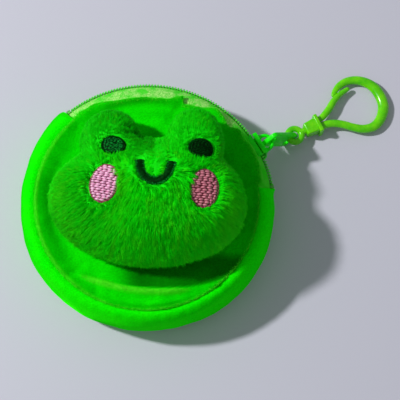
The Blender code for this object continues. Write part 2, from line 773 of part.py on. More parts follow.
def inside_head(point, inset=0.0):
    """Whether a point is inside the body and the two eye bumps, blended into one form."""
    body = (HEAD_HALF_WIDTH - inset, HEAD_HALF_LENGTH - inset, HEAD_RISE - inset)
    bump = (EYE_BUMP_HALF_WIDTH - inset, EYE_BUMP_HALF_LENGTH - inset, EYE_BUMP_RISE - inset)
    total = lobe_reach(point, body, HEAD_SQUARENESS) ** -EYE_BUMP_BLEND
    for side in (-1, 1):
        offset = point - Vector((side * EYE_BUMP_SPREAD, EYE_BUMP_FORWARD, EYE_BUMP_HEIGHT))
        total += lobe_reach(offset, bump, 2) ** -EYE_BUMP_BLEND
    return total > 1


def skin_distance(start, direction, inset=0.0):
    """How far the skin lies from a point inside the head, along a direction."""
    low = 0.2 * HEAD_RISE
    high = 2 * HEAD_HALF_WIDTH
    for _ in range(32):
        middle = (low + high) / 2
        if inside_head(start + direction * middle, inset):
            low = middle
        else:
            high = middle
    return low


def head_solid(name, inset, base, segments):
    """The head as one closed solid, cut level at its base."""
    shape = bmesh.new()
    bmesh.ops.create_uvsphere(shape, u_segments=segments, v_segments=segments // 2, radius=1.0)
    bmesh.ops.triangulate(shape, faces=list(shape.faces))
    for vertex in shape.verts:
        ray = vertex.co.normalized()
        vertex.co = ray * skin_distance(Vector(), ray, inset)
    cut = bmesh.ops.bisect_plane(
        shape,
        geom=list(shape.verts) + list(shape.edges) + list(shape.faces),
        plane_co=(0, 0, base),
        plane_no=(0, 0, -1),
        clear_outer=True,
    )
    rim = [edge for edge in cut["geom_cut"] if isinstance(edge, bmesh.types.BMEdge)]
    bmesh.ops.edgeloop_fill(shape, edges=rim)
    bmesh.ops.recalc_face_normals(shape, faces=shape.faces)
    return mesh_from(shape, name)


def make_head():
    base = -HEAD_MIDDLE
    plush = make_object("head_plush", head_solid("head_plush", 0.0, base, SKIN_SEGMENTS), FUR_GREEN, 0.9)
    plush.matrix_world = head_matrix()
    hollow = head_solid("head_hollow", PLUSH_THICKNESS, base - PLUSH_THICKNESS, STUFFING_SEGMENTS)
    add_boolean(plush, helper_object("head_hollow", hollow, head_matrix()), "DIFFERENCE")
    filling = head_solid("head_stuffing", PLUSH_THICKNESS + 1.7 * SEAM_GAP, base, STUFFING_SEGMENTS)
    stuffing = make_object("head_stuffing", filling, FIBRE_WHITE, 1.0)
    stuffing.matrix_world = head_matrix()


def skin_above(x, y):
    """The head's skin straight above a point of its plan, and its outward normal."""

    def height(px, py):
        return skin_distance(Vector((px, py, 0)), Vector((0, 0, 1)))

    step = 0.4 * MM
    slope_x = (height(x + step, y) - height(x - step, y)) / (2 * step)
    slope_y = (height(x, y + step) - height(x, y - step)) / (2 * step)
    return Vector((x, y, height(x, y))), Vector((-slope_x, -slope_y, 1)).normalized()


def make_patch(name, centre, size, tilt, colour):
    """An oval of satin stitches that follows the head's skin."""
    shape = bmesh.new()
    bmesh.ops.create_circle(shape, cap_ends=True, segments=24, radius=0.5)
    bmesh.ops.inset_region(shape, faces=list(shape.faces), thickness=0.16, use_even_offset=True)
    turn = Matrix.Rotation(tilt, 3, "Z")
    for vertex in shape.verts:
        flat = turn @ Vector((vertex.co.x * size[0], vertex.co.y * size[1], 0))
        edge = 1 - 0.35 * smooth_step(vertex.co.length, 0.35, 0.5)
        point, normal = skin_above(centre[0] + flat.x, centre[1] + flat.y)
        vertex.co = point + normal * (SEAM_GAP + THREAD_THICKNESS * edge)
    bmesh.ops.triangulate(shape, faces=list(shape.faces))
    patch = make_object(name, mesh_from(shape, name), colour, 0.5)
    patch.matrix_world = head_matrix()
    wall = patch.modifiers.new("Thickness", "SOLIDIFY")
    wall.thickness = THREAD_THICKNESS * 0.55
    wall.offset = -1.0


def make_face():
    for side, label in ((-1, "left"), (1, "right")):
        eye = (FACE_X + side * EYE_SPACING / 2, EYE_Y)
        make_patch(label + "_eye", eye, EYE_SIZE, 0.0, THREAD_DARK_GREEN)
        cheek = (FACE_X + side * CHEEK_SPACING / 2, CHEEK_Y)
        make_patch(label + "_cheek", cheek, CHEEK_SIZE, CHEEK_TILT if side < 0 else 0.0, THREAD_PINK)
    points = []
    steps = 12
    for i in range(steps + 1):
        turn = pi * (1 + i / steps)
        x = FACE_X + SMILE_WIDTH / 2 * cos(turn)
        y = SMILE_Y + SMILE_DEPTH * sin(turn)
        point, normal = skin_above(x, y)
        points.append(point + normal * (SMILE_STROKE + SEAM_GAP))
    smile = poly_tube("smile", points, [SMILE_STROKE] * len(points), THREAD_DARK_GREEN, 1)
    smile.matrix_world = head_matrix()


# Joints: an empty on each axis carries the pieces that turn about it

MOUTH_ANGLE = (ZIP_START + ZIP_END) / 2 + pi
FRONT_PIECES = ["front_panel", "lining_front", "zip_tape_front", "zip_coil_front", "head_plush"]
FACE_PIECES = ["head_stuffing", "left_eye", "right_eye", "smile", "left_cheek", "right_cheek"]


def add_hinge(name, point, pieces, carrier=None):
    """An empty at a point of the joint's axis, with the pieces parented to it where they are."""
    hinge = make_object(name, None)
    hinge.empty_display_size = BAIL_SPAN
    hinge.location = point
    bpy.context.view_layer.update()
    if carrier:
        hang(hinge, carrier)
    for piece in pieces:
        hang(bpy.data.objects[piece], hinge)
    return hinge


def hang(item, carrier):
    item.parent = carrier
    item.matrix_parent_inverse = carrier.matrix_world.inverted()


def add_joints():
    gate_root = clip_matrix() @ GATE_ROOT
    mouth = polar(PANEL_RADIUS, MOUTH_ANGLE, POUCH_DEPTH)
    add_hinge("mouth_hinge", mouth, FRONT_PIECES + FACE_PIECES)
    slider = add_hinge("slider_pivot", (0, 0, COIL_HEIGHT), ["slider_body", "slider_bail"])
    puller = add_hinge("puller_hinge", BAIL_POINT, ["puller_tab"], slider)
    eye = add_hinge("eye_hinge", RING_POINT, ["swivel_eye"], puller)
    hook = add_hinge("hook_pivot", RING_CENTRE, ["hook_body"], eye)
    add_hinge("gate_hinge", gate_root, ["hook_gate"], hook)
    places = {"mouth": mouth, "bail": BAIL_POINT, "ring": RING_POINT, "clip": RING_CENTRE, "gate": gate_root}
    for label, place in places.items():
        print(label, [round(v / MM, 3) for v in place])
    print("clip runs along", [round(v, 5) for v in CLIP_ALONG], "tilted by", round(degrees(CLIP_TILT), 2))


clear_scene()
PURSE = new_collection("Plush coin purse")
CUTTERS = new_collection("Cutters")
make_panels()
make_panel_linings()
make_gusset()
make_zip_half("front", 1)
make_zip_half("back", -1)
make_zip_stops()
make_slider()
make_puller()
make_swivel_eye()
make_hook()
make_gate()
make_head()
make_face()
add_joints()
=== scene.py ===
"""Plush coin purse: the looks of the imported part, piece by piece, in the order that it is sewn and fitted."""

from math import atan2, cos, exp, pi, radians, sin, sqrt
from random import Random

import bmesh
import bpy
import numpy as np
from mathutils.bvhtree import BVHTree
from mathutils import Matrix, Vector, noise


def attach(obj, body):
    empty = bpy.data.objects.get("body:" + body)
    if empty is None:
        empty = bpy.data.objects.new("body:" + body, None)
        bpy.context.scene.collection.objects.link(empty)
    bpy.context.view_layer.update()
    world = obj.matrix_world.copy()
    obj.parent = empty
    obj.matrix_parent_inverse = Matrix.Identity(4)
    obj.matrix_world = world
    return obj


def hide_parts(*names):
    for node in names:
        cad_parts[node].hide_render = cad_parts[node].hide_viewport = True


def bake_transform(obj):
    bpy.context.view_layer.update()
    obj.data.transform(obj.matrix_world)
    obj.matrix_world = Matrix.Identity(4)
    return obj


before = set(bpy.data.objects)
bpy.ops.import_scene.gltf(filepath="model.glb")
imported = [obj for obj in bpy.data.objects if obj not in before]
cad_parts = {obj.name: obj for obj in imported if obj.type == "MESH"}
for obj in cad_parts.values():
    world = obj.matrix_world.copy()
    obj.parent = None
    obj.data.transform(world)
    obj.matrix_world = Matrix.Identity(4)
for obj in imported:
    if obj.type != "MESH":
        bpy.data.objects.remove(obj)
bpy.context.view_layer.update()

# Table and light
# A plain pale table, one lamp high on the left of the purse, and a weak even
# light from all round.
MM = 0.001
TABLE_SIZE = 3.0
TABLE_GAP = 0.05 * MM
LAMP_DISTANCE = 1.3
LAMP_SIZE = 0.10
LAMP_POWER = 14.5
ROOM_LIGHT = 0.30


def added(primitive, **settings):
    """A new mesh from one of the primitives, with nothing else selected."""
    bpy.ops.object.select_all(action="DESELECT")
    primitive(**settings)
    return bpy.context.object


def linked(name, data):
    """A new object in the scene for a mesh, a curve, a lamp or a camera."""
    item = bpy.data.objects.new(name, data)
    bpy.context.scene.collection.objects.link(item)
    return item


def finish_material(name, roughness, specular=0.5, **more):
    """A material; more gives values for other sockets, with _ for each space in a socket's name."""
    material = bpy.data.materials.new(name)
    material.use_nodes = True
    shader = material.node_tree.nodes["Principled BSDF"]
    shader.inputs["Roughness"].default_value = roughness
    shader.inputs["Specular IOR Level"].default_value = specular
    for socket, value in more.items():
        shader.inputs[socket.replace("_", " ")].default_value = value
    return material, material.node_tree, shader


table = added(bpy.ops.mesh.primitive_plane_add, size=TABLE_SIZE, location=(0, 0, -TABLE_GAP))
table.name = "table"
bpy.ops.object.transform_apply(location=True)
table.data.materials.append(finish_material("pale_table", 0.55, 0.3, Base_Color=(0.60, 0.585, 0.68, 1.0))[0])

lamp_direction = Vector((-0.68, 0.15, 0.74)).normalized()
key_lamp = bpy.data.lights.new("key_lamp", "AREA")
key_lamp.shape = "DISK"
key_lamp.size = LAMP_SIZE
key_lamp.energy = LAMP_POWER
key = linked("key_lamp", key_lamp)
key.location = Vector((0.02, 0, 0.02)) + lamp_direction * LAMP_DISTANCE
key.rotation_euler = lamp_direction.to_track_quat("Z", "Y").to_euler()

world = bpy.data.worlds.new("studio")
bpy.context.scene.world = world
world.use_nodes = True
room = world.node_tree.nodes["Background"]
room.inputs["Color"].default_value = (0.86, 0.94, 0.93, 1.0)
room.inputs["Strength"].default_value = ROOM_LIGHT
bpy.context.scene.view_settings.view_transform = "Standard"

# Camera
# Above the purse and a little in front of it, 0.6 m from the middle of the
# picture on the table, looking down at 74 degrees.
CAMERA_DOWN = radians(74)
CAMERA_DISTANCE = 0.6
PICTURE_MIDDLE = Vector((0.0218, 0.0071, 0))
looking = Vector((0, cos(CAMERA_DOWN), -sin(CAMERA_DOWN)))
lens = bpy.data.cameras.new("camera")
lens.lens = 126.36
lens.sensor_width = 36
camera = linked("camera", lens)
camera.location = PICTURE_MIDDLE - looking * CAMERA_DISTANCE
camera.rotation_euler = (-looking).to_track_quat("Z", "Y").to_euler()
bpy.context.scene.camera = camera

# Back panel
# A round of short-pile velour that the purse lies on. Its edge is sewn to the
# gusset, pile sides together, and turned out, so it lifts a little there.
BACK_RADIUS = 46.2 * MM
BACK_LIFT = 0.5 * MM
CLOTH_THICKNESS = 1.2 * MM


def select_only(item):
    bpy.ops.object.select_all(action="DESELECT")
    item.select_set(True)
    bpy.context.view_layer.objects.active = item


def edit(item, mode="VERT"):
    """Edit mode on one piece, with nothing in it selected."""
    select_only(item)
    bpy.ops.object.mode_set(mode="EDIT")
    bpy.ops.mesh.select_mode(type=mode)
    bpy.ops.mesh.select_all(action="DESELECT")


def select_where(item, test):
    """Selects the vertices whose place passes a test, and the faces and edges between them."""
    shape = bmesh.from_edit_mesh(item.data)
    for vertex in shape.verts:
        vertex.select = test(vertex.co)
    shape.select_flush_mode()
    bmesh.update_edit_mesh(item.data)


def leave_edit():
    """Merges doubles, turns the faces outwards, and goes back to object mode."""
    bpy.ops.mesh.select_all(action="SELECT")
    bpy.ops.mesh.remove_doubles(threshold=0.002 * MM)
    bpy.ops.mesh.normals_make_consistent(inside=False)
    bpy.ops.object.mode_set(mode="OBJECT")


def finish_with(item, kind, **settings):
    """Adds a modifier and applies it."""
    modifier = item.modifiers.new(kind.title(), kind)
    for name, value in settings.items():
        setattr(modifier, name, value)
    select_only(item)
    bpy.ops.object.modifier_apply(modifier=modifier.name)


def settle(item, name):
    """Puts the piece's place into its mesh, and names it."""
    select_only(item)
    bpy.ops.object.transform_apply(location=True, rotation=True, scale=True)
    item.name = name
    item.data.name = name
    item.data.materials.clear()


def points_of(item):
    places = np.empty(len(item.data.vertices) * 3)
    item.data.vertices.foreach_get("co", places)
    return places.reshape(-1, 3)


def set_points(item, places):
    item.data.vertices.foreach_set("co", np.asarray(places, float).ravel())
    item.data.update()


def ripple(place, size, seed=0.0):
    """Smooth unevenness from -1 to 1, with bumps of about one size."""
    return noise.noise(Vector(place) / size + Vector((seed, 2 * seed, -seed)))


def add_noise(tree, scale, detail=2.0, distortion=0.0):
    """A noise on the piece's own coordinates, in bumps to the metre."""
    where = tree.nodes.new("ShaderNodeTexCoord")
    pattern = tree.nodes.new("ShaderNodeTexNoise")
    pattern.inputs["Scale"].default_value = scale
    pattern.inputs["Detail"].default_value = detail
    pattern.inputs["Distortion"].default_value = distortion
    tree.links.new(where.outputs["Object"], pattern.inputs["Vector"])
    return pattern.outputs["Fac"]


def add_ramp(tree, source, stops):
    """Colours along a value, as (place, colour) stops."""
    ramp = tree.nodes.new("ShaderNodeValToRGB")
    while len(ramp.color_ramp.elements) < len(stops):
        ramp.color_ramp.elements.new(0.5)
    for element, (place, colour) in zip(ramp.color_ramp.elements, stops):
        element.position = place
        element.color = (*colour, 1.0)
    tree.links.new(source, ramp.inputs["Fac"])
    return ramp.outputs["Color"]


def add_mix(tree, share, first, second, kind="MIX"):
    """One colour over another; a share is a number or a value from a node."""
    mix = tree.nodes.new("ShaderNodeMix")
    mix.data_type = "RGBA"
    mix.blend_type = kind
    for socket, value in (("Factor", share), ("A", first), ("B", second)):
        index = {"Factor": 0, "A": 6, "B": 7}[socket]
        if isinstance(value, (int, float)):
            mix.inputs[index].default_value = value
        elif isinstance(value, tuple):
            mix.inputs[index].default_value = (*value, 1.0)
        else:
            tree.links.new(value, mix.inputs[index])
    return mix.outputs[2]


def add_attribute(tree, name):
    """A number that mark wrote at each point."""
    read = tree.nodes.new("ShaderNodeAttribute")
    read.attribute_name = name
    return read.outputs["Fac"]


def add_bump(tree, shader, height, depth, strength=1.0, under=None):
    bump = tree.nodes.new("ShaderNodeBump")
    bump.inputs["Strength"].default_value = strength
    bump.inputs["Distance"].default_value = depth
    tree.links.new(height, bump.inputs["Height"])
    if under:
        tree.links.new(under, bump.inputs["Normal"])
    tree.links.new(bump.outputs["Normal"], shader.inputs["Normal"])
    return bump.outputs["Normal"]


def grey(value):
    return (value, value, value)


def grain(tree, scale, detail, low, high, distortion=0.0):
    """A noise that runs between two (place, colour) stops."""
    return add_ramp(tree, add_noise(tree, scale, detail, distortion), [low, high])


def velour(name, deep, bright, sheen=0.7, painted_light=False):
    """Short pile: soft, brushed lighter and darker in patches, with a fine fleck and a sheen at its edges."""
    more = {"Sheen_Weight": sheen, "Sheen_Roughness": 0.45, "Sheen_Tint": (0.02, 1.0, 0.0, 1.0)}
    material, tree, shader = finish_material(name, 0.85, 0.02, **more)
    brushed = grain(tree, 75, 3, (0.25, deep), (0.72, bright), 0.8)
    fleck = grain(tree, 2100, 2, (0.38, grey(0.74)), (0.62, grey(1.1)))
    colour = add_mix(tree, 0.75, brushed, fleck, "MULTIPLY")
    # Where asked, painted shade and a lime painted highlight, from a value marked at each point.
    if painted_light:
        painted_light_value = add_attribute(tree, "painted_light")
        shade = add_ramp(tree, painted_light_value, [(0.0, grey(0.13)), (0.5, grey(1.0))])
        tips = add_ramp(tree, painted_light_value, [(0.5, grey(0.0)), (1.0, grey(1.0))])
        colour = add_mix(tree, tips, add_mix(tree, 1.0, colour, shade, "MULTIPLY"), (0.12, 0.98, 0.02))
    tree.links.new(colour, shader.inputs["Base Color"])
    pile = add_bump(tree, shader, add_noise(tree, 2600, 2), 0.25 * MM, 0.5)
    add_bump(tree, shader, add_noise(tree, 420, 3), 0.35 * MM, 0.35, pile)
    return material


def spun_disc(name, radii, steps):
    """A flat round of cloth: a line from the middle to the edge, spun all the way round."""
    disc = added(bpy.ops.mesh.primitive_plane_add, size=1.0, location=(0.5, 0.5, 0))
    bpy.ops.object.transform_apply(location=True)
    edit(disc)
    select_where(disc, lambda place: place.y > 0.5)
    bpy.ops.mesh.delete(type="VERT")
    bpy.ops.mesh.select_all(action="SELECT")
    bpy.ops.mesh.subdivide(number_cuts=len(radii) - 2)
    bpy.ops.object.mode_set(mode="OBJECT")
    line = points_of(disc)
    for point in line:
        point[0] = radii[round(point[0] * (len(radii) - 1))]
    set_points(disc, line)
    edit(disc)
    bpy.ops.mesh.select_all(action="SELECT")
    bpy.ops.mesh.spin(steps=steps, angle=2 * pi, center=(0, 0, 0), axis=(0, 0, 1))
    leave_edit()
    settle(disc, name)
    if disc.data.polygons[0].normal.z < 0:
        disc.data.flip_normals()
    return disc


back_rings = [r * MM for r in (0, 6, 13, 20, 27, 33, 38, 41, 43.5, 44.4, 45.3, 46.2)]
back_panel = spun_disc("back_velour", back_rings, 120)
BACK_EDGE = 2.7 * MM
places = points_of(back_panel)
for place in places:
    radius = sqrt(place[0] ** 2 + place[1] ** 2)
    reach = min(1.0, max(0.0, (radius - BACK_RADIUS + BACK_EDGE) / BACK_EDGE))
    place[2] = BACK_LIFT * reach * reach * (3 - 2 * reach) + 0.12 * MM * (1 + ripple(place, 9 * MM)) * reach
set_points(back_panel, places)
finish_with(back_panel, "SOLIDIFY", thickness=CLOTH_THICKNESS, offset=1.0)
back_panel.data.shade_smooth()
VELOUR_DEEP = (0.0, 0.60, 0.0)
VELOUR_BRIGHT = (0.004, 0.93, 0.0)
back_panel.data.materials.append(velour("velour_back", VELOUR_DEEP, VELOUR_BRIGHT))
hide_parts("back_panel")
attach(back_panel, "pouch")

# Gusset
# A strip of the same velour that makes the purse's depth, from the zip's left
# end round the lower side to its right end. It swells past both seams.
ZIP_START = radians(7.0)
ZIP_END = radians(131.0)
GUSSET_SWEEP = 2 * pi - (ZIP_END - ZIP_START)
RIM_RADIUS = 46.6 * MM
RIM_TOP = 25.4 * MM
RIM_BOTTOM = 0.7 * MM
GUSSET_BULGE = 6.2 * MM
GUSSET_MIDDLE = (RIM_TOP + RIM_BOTTOM) / 2
GUSSET_HALF = (RIM_TOP - RIM_BOTTOM) / 2


def bell(value, middle, spread):
    """1 at the middle, and less on both sides: 0.37 one spread away from it."""
    return exp(-(((value - middle) / spread) ** 2))


def swell(angle):
    """How far the gusset stands past its seams: least at the foot, most at the zip's left end."""
    foot = max(0.0, -sin(angle)) ** 4
    return GUSSET_BULGE - 1.3 * MM * foot + 2.4 * MM * bell(angle, ZIP_END, radians(24.0))


def spun_sheet(name, cuts, steps, start, sweep):
    """A sheet spun from an upright line, with the turn and the share of its height of every point."""
    sheet = added(bpy.ops.mesh.primitive_plane_add, size=1.0, location=(0.5, 0, 0.5), rotation=(pi / 2, 0, 0))
    bpy.ops.object.transform_apply(location=True, rotation=True)
    sheet.rotation_euler = (0, 0, start)
    edit(sheet)
    select_where(sheet, lambda place: place.x < 0.5)
    bpy.ops.mesh.delete(type="VERT")
    bpy.ops.mesh.select_all(action="SELECT")
    bpy.ops.mesh.subdivide(number_cuts=cuts)
    bpy.ops.mesh.spin(steps=steps, angle=sweep, center=(0, 0, 0), axis=(0, 0, -1))
    leave_edit()
    settle(sheet, name)
    spun = points_of(sheet)
    turns = np.arctan2(spun[:, 1], spun[:, 0])
    turns = start + np.mod(turns - start + 1e-4, 2 * pi) - 1e-4
    return sheet, turns, spun[:, 2]


def write_weave(item, along, across):
    """A UV map in metres, along the cloth and across it, for patterns that follow it."""
    layer = item.data.uv_layers.new(name="cloth")
    corners = np.empty(len(item.data.loops), np.int64)
    item.data.loops.foreach_get("vertex_index", corners)
    layer.data.foreach_set("uv", np.stack([along[corners], across[corners]], axis=1).ravel())


TAPE_HEIGHTS = (0.9, 8.5, 16.0, 18.0, 21.5, 23.8)
TAPE_REACHES = (47.2, 50.1, 52.5, 52.5, 49.3, 43.9)


def tape_reach(height):
    """How far out the zip's tapes stand at a height; the gusset's ends are turned in and sewn down to them."""
    return np.interp(height / MM, TAPE_HEIGHTS, TAPE_REACHES) * MM


SEAM_PUCKER = 0.75 * MM
TURNED_IN = 2.6 * MM


def gusset_place(angle, share, inset=0.0):
    """A point of the gusset's outer face, share 0 at the back seam and 1 at the front seam."""
    turn = pi * (1 - share)
    height = GUSSET_MIDDLE + (GUSSET_HALF - inset) * cos(turn)
    along = RIM_RADIUS * angle
    full = max(0.0, sin(turn)) ** 0.85
    wave = sin(along / SEAM_PUCKER + 2.2 * ripple((along, 0, 0), 7 * MM))
    pucker = 0.16 * MM * wave * bell(RIM_TOP, height, 2.6 * MM)
    slack = 0.5 * MM * ripple((along, height * 2.2, 0), 11 * MM, 3.1)
    slack += 0.2 * MM * ripple((along, height, 0), 4 * MM, 5.3)
    crease = bell(height - 19 * MM, 1.5 * MM * sin(3 * angle), 1.4 * MM)
    crease *= 0.9 * bell(angle, radians(300), 0.20) + 0.7 * bell(angle, radians(222), 0.16)
    tucked = max(0.0, (share - 0.95) / 0.05) ** 2
    radius = RIM_RADIUS + (swell(angle) - inset + slack - crease * MM) * full + pucker - 0.9 * MM * tucked
    from_end = min(angle - ZIP_END, ZIP_END + GUSSET_SWEEP - angle) * RIM_RADIUS / TURNED_IN
    if from_end < 1 and not inset:
        sewn = tape_reach(height) + CLOTH_THICKNESS
        radius = sewn + (radius - sewn) * sqrt(max(0.0, 1 - (1 - from_end) ** 2))
    return (radius * cos(angle), radius * sin(angle), height + (0.30 * full ** 0.2 - 0.35 * tucked) * MM)


GUSSET_STEPS = 180
gusset, turns, shares = spun_sheet("gusset_velour", 21, GUSSET_STEPS, ZIP_END, GUSSET_SWEEP)
end_rows = 4 * GUSSET_SWEEP / GUSSET_STEPS
for sign, past_end in ((-1, turns - ZIP_END), (1, ZIP_END + GUSSET_SWEEP - turns)):
    past_end = np.clip(past_end, 0, end_rows)
    turns = turns + sign * (past_end - end_rows * (past_end / end_rows) ** 1.8)
places = [gusset_place(angle, share) for angle, share in zip(turns, shares)]
set_points(gusset, places)
finish_with(gusset, "SOLIDIFY", thickness=CLOTH_THICKNESS, offset=-1.0)
finish_with(gusset, "SUBSURF", levels=1, render_levels=1)
gusset.data.shade_smooth()
# The gusset is the same velour as the rounds, coloured brighter as painted light where it faces away from the lamp.
gusset.data.materials.append(velour("velour_gusset", (0.0, 0.93, 0.0), (0.008, 1.0, 0.0), 1.0))
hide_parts("gusset")
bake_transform(gusset)

# Front panel
# The other round of velour, with the head sewn on it. Its turned edge stands as
# a soft ridge along the seam, and waves over the zip's tape.
FRONT_RADIUS = 46.2 * MM
FRONT_HEIGHT = 25.4 * MM
FRONT_CROWN = 2.8 * MM


def over_zip(angle):
    """1 along the zip and 0 along the gusset, with a short change between them."""
    from_end = min(angle - ZIP_START, ZIP_END - angle)
    return min(1.0, max(0.0, from_end / radians(4) + 0.5))


def step_between(value, start, end):
    t = min(1.0, max(0.0, (value - start) / (end - start)))
    return t * t * (3 - 2 * t)


def beside(angle, middle, spread):
    """1 at one angle round the purse, and less to 0 away from it."""
    return bell((angle - middle + pi) % (2 * pi), pi, spread)


def mark(item, name, values):
    """A number at each point, for the material to read."""
    layer = item.data.attributes.new(name, "FLOAT", "POINT")
    layer.data.foreach_set("value", np.asarray(values, np.float32).ravel())


# The turned edge along the zip: degrees round the purse, and how far past its seam it lies, in mm
HEM = (
    (7, 0), (10, 1.6), (19, 2.6), (28, 2.8), (35, 2.0), (39, 3.1), (41, 1.5), (44, 0.2), (49, 1.9), (53.5, 3.4),
    (58, 1.2), (63, -0.6), (67, -1.3), (70.3, -1.6), (72, 1.7), (75.6, 0.3), (78, -0.9), (87, -1.7), (92, -1.2),
    (100, -1.2), (107, -0.7), (113, 0.5), (118, 1.4), (131, 1.4),
)
hem_turns, hem_reaches = np.radians([turn for turn, _ in HEM]), [reach for _, reach in HEM]


def hem_reach(angle):
    along = (angle * FRONT_RADIUS, 0, 0)
    wave = 0.2 * MM * ripple(along, 2.6 * MM, 4.4) + 0.25 * MM * ripple(along, 1.1 * MM, 8.8)
    return (np.interp(angle, hem_turns, hem_reaches) * MM + wave) * over_zip(angle)


def front_height(radius, angle, flat):
    """The front panel's outer face: a ridge at the seam, sunk to the head on the left, and risen to it on the right."""
    share = min(radius / FRONT_RADIUS, 1.0)
    crown = FRONT_CROWN * (1 - share ** 2.6)
    outer = step_between(radius, 8 * MM, 30 * MM)
    left = beside(angle, radians(184), radians(58)) * outer
    right = beside(angle, radians(3), radians(45)) * outer
    valley = 1.1 * MM * bell(radius, 41.8 * MM, 2.2 * MM) * (1 - 0.45 * over_zip(angle)) * (1 - left) * (1 - right)
    sunk = 3.2 * MM * left * (1 - step_between(radius, 38.5 * MM, 45.4 * MM))
    risen = 1.8 * MM * right * (1 - step_between(radius, 36 * MM, 46 * MM))
    ridge = 0.55 * MM * bell(radius, 45.4 * MM, 0.9 * MM)
    slack = 0.55 * MM * ripple(flat, 15 * MM, 2.0) + 0.16 * MM * ripple(flat, 5 * MM, 7.0)
    loose = min(1.0, max(0.0, (radius - 24 * MM) / (10 * MM)))
    return FRONT_HEIGHT + crown - valley - sunk + risen + ridge + slack * loose


def fold_line(x):
    """How far below the middle the slack fold under the head lies, in mm."""
    return -38.2 + 0.0062 * (x - 6) ** 2


def from_fold(x, y):
    """How far a point lies inside the slack fold, how much fold is there, and its dip, in mm."""
    window = step_between(x, -30, -18) * (1 - step_between(x, 26, 33))
    inside = y - fold_line(x)
    return inside, window, window * (1.2 * bell(inside, 3.0, 1.9) - 1.0 * bell(inside, 0, 1.3))


def painted_light_at(x, y, radius, angle):
    """Painted light on the front panel: 0 painted shade, 0.5 plain, and 1 painted highlight. Places are in mm."""
    inside, window, _ = from_fold(x, y)
    # Painted shade: under the hem at the top, on the right beside the head, under the head above the slack fold, in the
    # lower seam's crease, and in the valley on the left.
    dark = max(
        0.62 * beside(angle, radians(96), radians(30)) * bell(radius, 43.4, 2.6),
        0.45 * beside(angle, radians(5), radians(48)) * step_between(radius, 33, 38),
        0.85 * step_between(inside, 0.2, 1.8) * step_between(-y, 20, 26) * step_between(x, -16, -2),
        0.50 * beside(angle, radians(-82), radians(24)) * bell(radius, 44.6, 1.0),
        0.45 * beside(angle, radians(178), radians(44)) * bell(radius, 40.0, 2.6),
    )
    # Painted highlight: along the ridge of the slack fold and along the seam's ridge on the left.
    tips = max(
        0.8 * window * (1 - step_between(x, 8, 22)) * bell(inside, 0, 1.1),
        0.45 * beside(angle, radians(180), radians(60)) * bell(radius, 45.6, 0.9),
    )
    return 0.5 * (1 - dark) + 0.5 * tips * (1 - dark)


# Shallow creases: the middle's place, the heading in degrees, the depth, the half length and the half width, in mm
CREASES = (
    (31, -30, -38, 0.9, 11, 1.3), (36, -22, -24, 0.8, 9, 1.2), (-30, -31, -139, 0.7, 8, 1.6),
    (-38, 12, 160, 0.5, 7, 1.4), (12, 38, 62, 0.5, 8, 1.5),
)


def crease_dip(x, y):
    """How deep the creases are at a point, in mm; each has a low ridge along one side."""
    dip = 0.0
    for middle_x, middle_y, heading, depth, length, width in CREASES:
        turn = radians(heading)
        run = (x - middle_x) * cos(turn) + (y - middle_y) * sin(turn)
        side = -(x - middle_x) * sin(turn) + (y - middle_y) * cos(turn) + 0.03 * run * run / length
        dip += depth * bell(run, 0, length) * (bell(side, 0, width) - 0.4 * bell(side, 2 * width, 1.5 * width))
    return dip


front_rings = [FRONT_RADIUS - r * MM for r in (46.2, 40, 34, 29, 25, 22, 19, 17, 15, 13, 11.5, 10, 9, 8, 7, 6.2)]
front_rings += [FRONT_RADIUS - r * MM for r in (5.4, 4.6, 3.8, 3.1, 2.4, 1.8, 1.2, 0.7, 0.3, 0)]
front_panel = spun_disc("front_velour", front_rings, 300)
places = points_of(front_panel)
painted_light = []
for place in places:
    radius = sqrt(place[0] ** 2 + place[1] ** 2)
    angle = atan2(place[1], place[0])
    height = front_height(radius, angle, (place[0], place[1], 0))
    along = FRONT_RADIUS * angle
    at_rim = bell(radius, FRONT_RADIUS, 1.5 * MM)
    wave = sin(along / SEAM_PUCKER + 2.5 * ripple((along, 0, 0), 6 * MM))
    height += 0.14 * MM * wave * at_rim * (1 - over_zip(angle))
    hem = hem_reach(angle) * bell(radius, FRONT_RADIUS, 2.5 * MM)
    drop = 1.1 * MM * over_zip(angle) * at_rim + 0.5 * MM * max(0.0, (radius - 45.8 * MM) / (0.4 * MM))
    drop += from_fold(place[0] / MM, place[1] / MM)[2] * MM
    painted_light.append(painted_light_at(place[0] / MM, place[1] / MM, radius / MM, angle))
    place[:2] *= (radius + hem) / max(radius, 1e-9)
    place[2] = height - drop - crease_dip(place[0] / MM, place[1] / MM) * MM
set_points(front_panel, places)
# The panel's painted shade and painted highlight, for its colour.
mark(front_panel, "painted_light", painted_light)
front_sides = [tuple(face.vertices) for face in front_panel.data.polygons]
front_top = BVHTree.FromPolygons([Vector(place) for place in places], front_sides)
finish_with(front_panel, "SOLIDIFY", thickness=CLOTH_THICKNESS, offset=-1.0)
front_panel.data.shade_smooth()
front_panel.data.materials.append(velour("velour_front", VELOUR_DEEP, VELOUR_BRIGHT, painted_light=True))
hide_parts("front_panel")
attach(front_panel, "front")

# Linings
# Thin woven cloth inside both rounds and the gusset, caught in the same seams.
# It is slightly slack, so it lies in shallow folds.
LINING_RADIUS = 44.8 * MM
LINING_THICKNESS = 0.4 * MM


def woven_lining(name):
    material, tree, shader = finish_material(name, 0.45, 0.35, Sheen_Weight=0.2)
    weave = tree.nodes.new("ShaderNodeTexWave")
    weave.inputs["Scale"].default_value = 900
    where = tree.nodes.new("ShaderNodeTexCoord")
    tree.links.new(where.outputs["Object"], weave.inputs["Vector"])
    colour = grain(tree, 300, 3, (0.3, (0.02, 0.28, 0.02)), (0.7, (0.05, 0.42, 0.05)))
    tree.links.new(colour, shader.inputs["Base Color"])
    add_bump(tree, shader, weave.outputs["Fac"], 0.05 * MM, 0.4)
    return material


